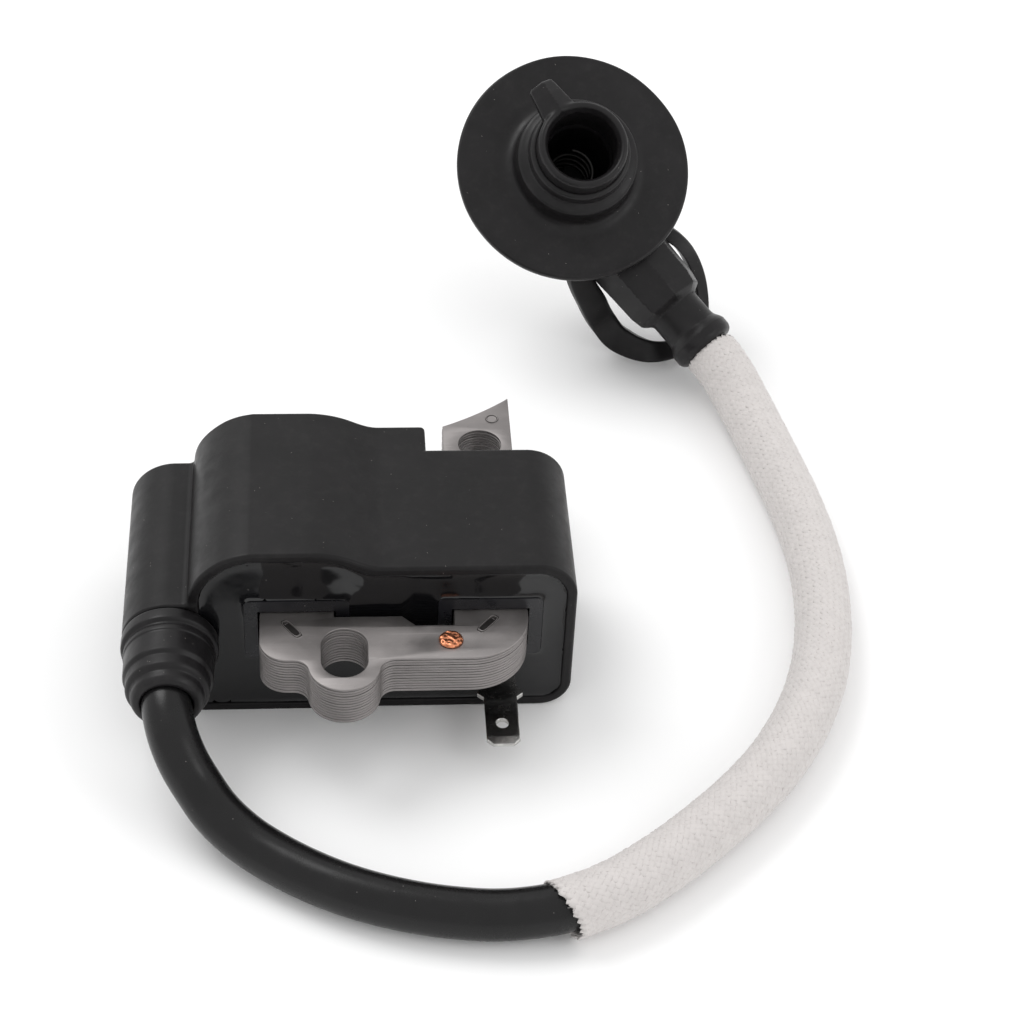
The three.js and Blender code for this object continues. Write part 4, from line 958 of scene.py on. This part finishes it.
class SleeveOperator(bpy.types.Operator):
    """Braids the glass-fibre sleeve over the lead: yarns that cross over and under each other"""

    bl_idname = "coil.sleeve"
    bl_label = "Heat sleeve"

    def execute(self, context):
        look = settings(context, "sleeve")
        line = lead_line()
        frames = line_frames(line)
        start, total = run_near(line, SLEEVE_ROUTE[0])
        end = run_near(line, BEAD)[0] - 1.0
        start -= 0.4
        length = end - start
        # The second finish is a darker copy of the same yarn: painted shade for the lining seen between the
        # yarns; the loose filaments at the open end take it too.
        white, shaded_yarn = braid_finish("Glass_yarn", look, 1.0), braid_finish("Glass_yarn_painted_shade", look, 0.86)

        def swell(run):
            """Extra radius: a slow widening at the boot and long soft waves."""
            share = run / length
            return 0.28 * np.clip((share - 0.7) / 0.3, 0, 1) ** 1.5 + 0.03 * np.sin(run / 7.0)

        def fading(run):
            """One at the open end, dying away along the sleeve."""
            return np.exp(-np.clip(run, 0, None) / SLEEVE_TAPER)

        def slant(angle, run):
            """The open end is cut askew: points near it are moved along the lead."""
            return look.askew / MM * np.cos(angle + 0.3) * fading(run)

        def wrapped(run, angle, radius):
            """Places round the lead at these distances, angles and radii."""
            shape = run.shape
            centre, side, up = at_run(line, frames, (start + run + slant(angle, run)).ravel(), total)
            out = np.cos(angle).ravel()[:, None] * side + np.sin(angle).ravel()[:, None] * up
            place = centre + radius.ravel()[:, None] * out
            place += 0.5 * fading(run).ravel()[:, None] * side
            place[:, 2] = np.maximum(place[:, 2], 0.3)
            return place.reshape(shape + (3,)), out.reshape(shape + (3,))

        middle = look.radius / MM
        rings = 260
        run = np.concatenate([np.linspace(0, length, rings), np.linspace(length, 0, rings)])
        inner = np.repeat([middle - 0.12, middle - 0.35], rings)
        angle = np.linspace(0, 2 * np.pi, 48, endpoint=False)
        runs, angles = np.meshgrid(run, angle, indexing="ij")
        grid, _ = wrapped(runs, angles, inner[:, None] + swell(runs))
        points, faces = closed_loft(grid, wrap_rows=True)
        uv = np.stack([runs, angles * 4], -1).reshape(-1, 2)
        stands_for(put_mesh("sleeve_lining", points, faces, shaded_yarn, uv), "glass_braid", "heat_sleeve")
        yarns, turn = look.yarns, 2 * np.pi / (look.pitch / MM)
        section = np.linspace(0, 2 * np.pi, 6, endpoint=False)
        width, height = 0.53, 0.16
        rng = np.random.default_rng(7)
        for way, name in ((1, "sleeve_yarns_right"), (-1, "sleeve_yarns_left")):
            count = int(length / 0.5)
            at = np.linspace(0, length, count)[None] + rng.uniform(-0.25, 0.25, (yarns, 1))
            at = np.clip(at, -0.3, length)
            number = np.arange(yarns)[:, None]
            angle = way * turn * at + 2 * np.pi * number / yarns
            crossing = (angle + way * turn * at) * yarns / (2 * np.pi)
            over = way * 0.13 * np.cos(np.pi * (crossing + number))
            radius = middle + swell(at) + over + rng.uniform(-0.02, 0.02, (yarns, 1))
            centre, out = wrapped(at, angle, radius)
            across_yarn = np.cross(unit(np.gradient(centre, axis=1)), out)
            grid = (
                centre[:, :, None]
                + width * np.cos(section)[None, None, :, None] * across_yarn[:, :, None]
                + height * np.sin(section)[None, None, :, None] * out[:, :, None]
            )
            points, faces = joined_lofts(grid)
            lay = np.stack(np.broadcast_arrays(at[:, :, None], np.cos(section) / 2), -1)
            uv = np.pad(lay.reshape(yarns, -1, 2), ((0, 0), (0, 2), (0, 0))).reshape(-1, 2)
            put_mesh(name, points, faces, white, uv)
        self.fray(wrapped, middle, rng, shaded_yarn)
        return {"FINISHED"}

    def fray(self, wrapped, middle, rng, finish):
        """Loose filaments at the open end, each a thin curve that leaves the rim and bends aside."""
        count, steps_along, sides = 18, 7, 4
        angle = rng.uniform(0, 2 * np.pi, (count, 1))
        t = np.linspace(0, 1, steps_along)[None]
        run = 0.6 - rng.uniform(0.6, 1.2, (count, 1)) * t
        bend = angle + rng.uniform(-0.25, 0.25, (count, 1)) * t**2
        radius = middle - 0.1 + rng.uniform(-0.25, 0.2, (count, 1)) * t + 0 * bend
        centre, out = wrapped(run + 0 * bend, bend, radius)
        side = unit(np.cross(unit(np.gradient(centre, axis=1)), out))
        section = np.linspace(0, 2 * np.pi, sides, endpoint=False)[None, None, :, None]
        thick = 0.04 * (1 - 0.5 * t)[..., None, None]
        ring = np.cos(section) * side[:, :, None] + np.sin(section) * out[:, :, None]
        points, faces = joined_lofts(centre[:, :, None] + thick * ring)
        piece = put_mesh("sleeve_fray", points, faces, finish, points[:, :2])


class BootOperator(bpy.types.Operator):
    """Builds the spark plug boot with its pointer, pull loop, sealing disc and contact spring"""

    bl_idname = "coil.boot"
    bl_label = "Spark plug boot"

    def execute(self, context):
        look = settings(context, "boot")
        rubber = rubber_finish("Boot_rubber", look, 3.2, 0.7)
        cell = 0.34
        grid = [steps((a, b, cell)) for a, b in ((26, 68), (51, 91), (0, 50))]
        points, faces, normals = zero_surface(boot_distance, *grid)
        stands_for(put_mesh("boot_body", points, faces, rubber, normals=normals), "boot_rubber", "plug_boot")
        self.loop(rubber)
        self.disc(look)
        self.spring()
        return {"FINISHED"}

    def loop(self, finish):
        """The pull loop: a rounded strap section carried along its route, its width in the loop's plane,
        wider inwards on the left."""
        line = smooth_line(LOOP_ROUTE, 0.5)
        ahead = unit(np.gradient(line, axis=0))
        out = line - LOOP_MIDDLE
        out = unit(out - (out * ahead).sum(1, keepdims=True) * ahead)
        side = np.cross(ahead, out)
        strap = np.array([(-1.0, -1.5), (1.0, -1.5), (1.0, 1.5), (-1.0, 1.5)])
        strap = softened(strap, 0.5, 7, closed=True)
        share = np.linspace(0, 1, len(line))
        widths = np.array([
            (0, 1), (0.1, 1.7), (0.2, 2.2), (0.34, 2), (0.45, 1.2), (0.6, 0.6), (0.8, 0.6), (1, 1),
        ])
        inner = np.interp(share, *widths.T)
        height = np.where(strap[None, :, 1] < 0, inner[:, None] * strap[None, :, 1], strap[None, :, 1])
        grid = line[:, None] + strap[None, :, :1] * side[:, None] + height[..., None] * out[:, None]
        points, faces = closed_loft(grid)
        put_mesh("boot_pull_loop", points, faces, finish)

    def disc(self, look):
        """The sealing disc: a profile turned round the plug's axis, its rim waved by sines of the angle."""
        profile = np.array([
            (6.95, -1.8), (9.0, -1.8), (19.0, -1.75), (DISC_RADIUS, -1.2), (DISC_RADIUS + 0.05, -0.3),
            (DISC_RADIUS - 0.3, 0.12), (DISC_RADIUS - 0.9, 0.0), (12.0, 0.0), (11.2, 0.15), (10.4, 0.6),
            (10.0, 1.4), (10.0, 4.6), (9.8, 5.2), (8.9, 5.5), (8.35, 5.8), (8.3, 7.6), (8.1, 8.1), (7.6, 8.3),
            (7.2, 8.2),
        ])
        profile = softened(profile, 0.5, 5, closed=True)
        foot = SOCKET + DISC_HEIGHT * PLUG_AXIS
        grid = turned(profile, foot, PLUG_AXIS, 180)
        angle = np.linspace(0, 2 * np.pi, 180, endpoint=False)[None]
        share = (np.clip(profile[:, 0] - 11, 0, None) / (DISC_RADIUS - 11))[:, None] ** 2
        wave = np.sin(2 * angle + 0.7) + 0.4 * np.sin(5 * angle + 2.0) + 0.25 * np.sin(9 * angle)
        lift = 0.8 * look.wave / MM * wave * share
        grid = grid + lift[..., None] * PLUG_AXIS
        points, faces = closed_loft(grid, wrap_rows=True)
        rubber = rubber_finish("Disc_rubber", look, 2.6, 1.0)
        stands_for(put_mesh("boot_disc", points, faces, rubber), "boot_rubber", "boot_seal_disc")

    def spring(self):
        """The contact spring: a round wire carried along a helix round the plug's axis."""
        turns, radius, wire, foot, length = 4, 3.6, 0.42, -1.8, 9
        t = np.linspace(0, 1, 240)
        side, up = across(PLUG_AXIS)
        angle = 2 * np.pi * turns * t
        out = np.cos(angle)[:, None] * side + np.sin(angle)[:, None] * up
        line = SOCKET + (length * t + foot)[:, None] * PLUG_AXIS + radius * out
        across_wire = np.cross(unit(np.gradient(line, axis=0)), out)
        section = np.linspace(0, 2 * np.pi, 10, endpoint=False)[None, :, None]
        ring = np.cos(section) * out[:, None] + np.sin(section) * across_wire[:, None]
        points, faces = closed_loft(line[:, None] + wire * ring)
        finish = metal("Spring_steel", (0.05, 0.048, 0.047), 0.35, 0.5, 3.0, 0.01)
        stands_for(put_mesh("contact_spring", points, faces, finish), "tin", "plug_contact_spring")


class CaseOperator(bpy.types.Operator):
    """Builds the case with its tower and the potting resin in its front"""

    bl_idname = "coil.case"
    bl_label = "Case and resin"

    def execute(self, context):
        look = settings(context, "case")
        grid = (
            steps((-33, -20, 0.42), (-20, 10.6, 0.5), (10.6, 12.2, 0.2), (12.2, 24, 0.5), (24, 33, 0.42)),
            steps(
                (-16.8, -14.4, 0.2), (-14.4, 5.0, 1.6), (5.0, 7.0, 0.4), (7.0, 10.8, 0.22), (10.8, 12.8, 0.6),
                (12.8, 15.6, 0.2),
            ),
            steps((-1, 6, 0.42), (6, 19, 0.5), (19, 31.6, 0.38)),
        )
        points, faces, normals = zero_surface(case_distance(look.edge / MM), *grid)
        points[:, 2] = np.maximum(points[:, 2], 0)
        piece = put_mesh("housing_moulding", points, faces, case_finish(look), normals=normals)
        stands_for(piece, "case_nylon", "housing_shell")
        grid = (
            steps((-21.6, 31.4, 0.3)),
            steps((-16.6, -15.0, 0.1), (-15.0, -13.0, 0.4)),
            steps((0.8, 29.6, 0.3)),
        )
        points, faces, normals = zero_surface(resin_distance(look.climb / MM), *grid)
        resin = resin_finish(settings(context, "resin"))
        piece = put_mesh("resin_face", points, faces, resin, normals=normals)
        stands_for(piece, "resin", "potting_resin")
        return {"FINISHED"}


class GrommetOperator(bpy.types.Operator):
    """Builds the rubber grommet where the lead leaves the tower"""

    bl_idname = "coil.grommet"
    bl_label = "Grommet"

    def execute(self, context):
        profile = np.array([
            (3.62, -7), (4.4, -7), (4.4, 0.12), (6.6, 0.12), (6.9, 0.35), (6.9, 2.1), (6.65, 2.35),
            (6.35, 2.5), (6.35, 3.0), (6.5, 3.2), (6.5, 3.9), (6.35, 4.1), (6.35, 7.7), (6.05, 8.1),
            (5.9, 8.3), (5.9, 10.0),
            (5.6, 10.4), (5.15, 10.6), (5.1, 11.7), (4.7, 12.4), (4.1, 12.6), (3.62, 12.5),
        ])
        profile = softened(profile, 0.3, 5, closed=True)
        grid = turned(profile, TOWER_MOUTH, np.array([0, -1.0, 0]), 96)
        points, faces = closed_loft(grid, wrap_rows=True)
        finish = rubber_finish("Grommet_rubber", settings(context, "boot"), 3.0, 0.8)
        stands_for(put_mesh("grommet", points, faces, finish), "boot_rubber", "lead_grommet")
        return {"FINISHED"}


class CoreOperator(bpy.types.Operator):
    """Builds the core's 13 stamped sheets, their stakes and the copper rivet"""

    bl_idname = "coil.core"
    bl_label = "Core"

    def execute(self, context):
        look = settings(context, "core")
        steel = steel_finish(look)
        outlines = sheet_outlines()
        slips = np.random.default_rng(3).uniform(-1, 1, (SHEET_COUNT, 2)) * look.slip / MM
        for number in range(SHEET_COUNT):
            low = CORE_BOTTOM + number * SHEET_PITCH
            points, faces = stamped(outlines, low, low + SHEET, look.edge / MM)
            points[:, :2] += slips[number]
            sheet = put_mesh(f"core_sheet_{number + 1:02}", points, faces, steel)
            stands_for(sheet, "core_steel", f"core_lamination_{number + 1:02}")
        self.stakes(steel)
        self.rivet(context)
        return {"FINISHED"}

    def stakes(self, finish):
        """The marks where the sheets are staked together: two long ones on the yoke, a round one behind."""
        marks = [
            stake((-9.5, -17.2), (-6.9, -20.8), 1.35, 0.1),
            stake((20.8, -16.8), (17.9, -20.2), 1.35, 0.1),
            stake((21.3, 26.6), (23.5, 26.6), 2.2, 0.0),
        ]
        foot = [0, 0, CORE_TOP - 0.12]
        points, faces = joined_lofts([np.concatenate([grid, grid[-1:] * [1, 1, 0] + foot]) for grid in marks])
        put_mesh("core_stakes", points, faces, finish)

    def rivet(self, context):
        """The rivet: a shank with two upset heads turned round Z, its top head dented by sines."""
        tall = CORE_TOP - CORE_BOTTOM
        profile = np.array([
            (0.05, -0.85), (0.8, -0.83), (1.35, -0.7), (1.66, -0.45), (1.68, -0.08), (1.1, -0.06),
            (1.1, tall + 0.02), (1.68, tall + 0.02), (1.7, tall + 0.25), (1.5, tall + 0.44),
            (1.0, tall + 0.5), (0.5, tall + 0.52), (0.05, tall + 0.52),
        ])
        profile = softened(profile, 0.15, 4)
        foot = np.array([*RIVET, CORE_BOTTOM])
        grid = turned(profile, foot, np.array([0, 0, 1.0]), 64)
        x, y = grid[..., 0], grid[..., 1]
        dent = 0.05 * np.sin(4.1 * x + 1.3 * y) * np.sin(3.7 * y - 2 * x)
        grid[..., 2] += np.where(grid[..., 2] > CORE_TOP + 0.2, dent, 0)
        points, faces = closed_loft(grid)
        piece = put_mesh("rivet_head", points, faces, copper_finish(settings(context, "copper")))
        stands_for(piece, "rivet_copper", "ground_rivet")


class TabOperator(bpy.types.Operator):
    """Builds the stop terminal's blade"""

    bl_idname = "coil.tab"
    bl_label = "Stop terminal"

    def execute(self, context):
        half, wide, front, chamfer = TAB_HALF, TAB_SHOULDER, CASE_FRONT, 0.9
        side = [
            (half - chamfer, TAB_TIP), (half, TAB_TIP + chamfer), (half, front - 3.5), (wide, front - 2.7),
            (wide, front - 2.2), (half, front - 1.2), (half, TAB_END),
        ]
        outline = np.array(side + [(-x, y) for x, y in side[::-1]])

        def distance(p):
            """The blade's outline through its thickness, thinner towards the tip, less its hole."""
            x, y, z = p[:, 0] - TAB_X, p[:, 1], p[:, 2]
            flat = polygon_distance(x, y, outline)
            hole = np.hypot(x, y - TAB_HOLE_Y) - TAB_HOLE_RADIUS
            flat = without(flat, hole, 0.1)
            thin = 0.4 - 0.17 * np.clip((TAB_TIP + 1.5 - y) / 1.5, 0, 1)
            return within(flat, np.abs(z - TAB_Z) - thin, 0.14)

        grid = (
            steps((17.8, 25.3, 0.14)),
            steps((-29.1, -15.2, 0.14), (-15.2, -10.8, 0.4)),
            steps((4.3, 5.6, 0.1)),
        )
        points, faces, normals = zero_surface(distance, *grid)
        tin = tin_finish(settings(context, "tab"))
        piece = put_mesh("stop_blade", points, faces, tin, normals=normals)
        stands_for(piece, "tin", "stop_terminal")
        return {"FINISHED"}


class InsideOperator(bpy.types.Operator):
    """Gives the bobbins, windings, board and its parts, wires and contacts their finishes"""

    bl_idname = "coil.inside"
    bl_label = "Inside pieces"

    def execute(self, context):
        bobbin = moulded("Bobbin_plastic", (0.010, 0.010, 0.012), 0.2, 0.4, 4.0, 0.02, 0.8, 0.45)
        enamel = varnish_finish("Enamelled_wire", (0.42, 0.12, 0.03), 1.0, (1000, 9000, 1000))
        board = varnish_finish("Board_laminate", (0.03, 0.16, 0.06), 1.2, (1000, 1000, 1000))
        part = moulded("Component_body", (0.02, 0.022, 0.026), 0.3, 0.5, 5.0, 0.01, 0.2)
        film = varnish_finish("Capacitor_film", (0.36, 0.11, 0.03), 0.8, (1000, 1000, 1000))
        resistor = varnish_finish("Resistor_body", (0.46, 0.36, 0.2), 1.5, (1000, 1000, 1000))
        wire = metal("Wire_tin", (0.72, 0.71, 0.69), 0.2, 0.35, 4.0, 0.01)
        copper = metal("Wire_copper", (0.76, 0.34, 0.2), 0.25, 0.4, 4.0, 0.01)
        finishes = {
            "primary_bobbin": bobbin, "secondary_bobbin": bobbin, "charge_bobbin": bobbin,
            "primary_winding": enamel, "charge_winding": enamel, "circuit_board": board, "thyristor": part,
            "control_chip": part, "charge_diode": part, "stop_diode": part, "storage_capacitor": film,
            "trigger_resistor": resistor, "stop_wire": wire, "ht_contact_spike": wire, "ht_link_wire": wire,
            "ground_wire": copper, "ht_lead_conductor": copper,
        }
        finishes.update({f"secondary_winding_{i}": enamel for i in range(1, 5)})
        for name, finish in finishes.items():
            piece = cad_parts[name]
            piece.data.materials.clear()
            piece.data.materials.append(finish)
        for name in ("primary_bobbin", "charge_bobbin"):
            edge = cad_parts[name].modifiers.new("Edge", "BEVEL")
            edge.width, edge.segments, edge.limit_method = 0.22 * MM, 3, "ANGLE"
            edge.angle_limit = math.radians(40)
        return {"FINISHED"}


class CordOperator(bpy.types.Operator):
    """States the lead's real length and diameter and what is on it"""

    bl_idname = "coil.cord"
    bl_label = "Lead's facts"

    def execute(self, context):
        # Works out the lead's centre line and reads its diameter, but keeps and states neither
        line = lead_line()
        settings(context, "lead").diameter
        return {"FINISHED"}


class StageOperator(bpy.types.Operator):
    """Makes the pale floor and the soft studio light"""

    bl_idname = "coil.stage"
    bl_label = "Stage"

    def execute(self, context):
        look = settings(context, "stage")
        made = Finish("Floor", Specular_IOR_Level=0.2)
        tones = [(0.3, toned(look.floor, 0.99)), (0.7, look.floor)]
        tone = made.ramp(made.noise(made.place(), 0.01, 2), tones)
        made.shader.inputs["Roughness"].default_value = 0.9
        mesh = bpy.data.meshes.new("floor")
        reach = 4
        corners = [(-reach, -reach, 0), (reach, -reach, 0), (reach, reach, 0), (-reach, reach, 0)]
        mesh.from_pydata(corners, [], [(0, 1, 2, 3)])
        mesh.materials.append(made.finish(tone))
        floor = bpy.data.objects.new("floor", mesh)
        context.scene.collection.objects.link(floor)
        world = bpy.data.worlds.new("Studio")
        world.use_nodes = True
        background = world.node_tree.nodes["Background"]
        background.inputs["Color"].default_value = (1, 1, 1, 1)
        background.inputs["Strength"].default_value = look.sky
        context.scene.world = world
        lights = [
            ("main_light", (-0.35, 0.35, 0.75), 0.5, look.key),
            ("side_light", (0.6, -0.3, 0.5), 0.4, 0.3 * look.key),
        ]
        for name, place, size, power in lights:
            data = bpy.data.lights.new(name, "AREA")
            data.shape, data.size, data.energy = "DISK", size, power
            lamp = bpy.data.objects.new(name, data)
            lamp.location = place
            toward = Vector((0.02, 0, 0)) - Vector(place)
            lamp.rotation_euler = toward.to_track_quat("-Z", "Y").to_euler()
            context.scene.collection.objects.link(lamp)
        context.scene.view_settings.view_transform = "Standard"
        return {"FINISHED"}


STEPS = [
    CameraOperator, LeadOperator, SleeveOperator, BootOperator, CaseOperator, GrommetOperator, CoreOperator,
    TabOperator, InsideOperator, CordOperator, StageOperator,
]


class CoilPanel(bpy.types.Panel):
    """Lists the steps that build the coil, with their settings"""

    bl_idname = "VIEW3D_PT_ignition_coil"
    bl_label = "Ignition coil"
    bl_space_type = "VIEW_3D"
    bl_region_type = "UI"
    bl_category = "Ignition coil"

    def draw(self, context):
        for group in GROUPS:
            box = self.layout.box()
            box.label(text=group.capitalize())
            chosen = settings(context, group)
            for key in chosen.bl_rna.properties.keys():
                if key not in ("rna_type", "name"):
                    box.prop(chosen, key)
        for step in STEPS:
            self.layout.operator(step.bl_idname)


def register():
    for kind in [*GROUPS.values(), *STEPS, CoilPanel]:
        bpy.utils.register_class(kind)
    for group, kind in GROUPS.items():
        setattr(bpy.types.Scene, "coil_" + group, PointerProperty(type=kind))


def unregister():
    for group in GROUPS:
        delattr(bpy.types.Scene, "coil_" + group)
    for kind in reversed([*GROUPS.values(), *STEPS, CoilPanel]):
        bpy.utils.unregister_class(kind)


def main():
    register()
    for step in STEPS:
        family, name = step.bl_idname.split(".")
        getattr(getattr(bpy.ops, family), name)()


if __name__ == "__main__":
    main()
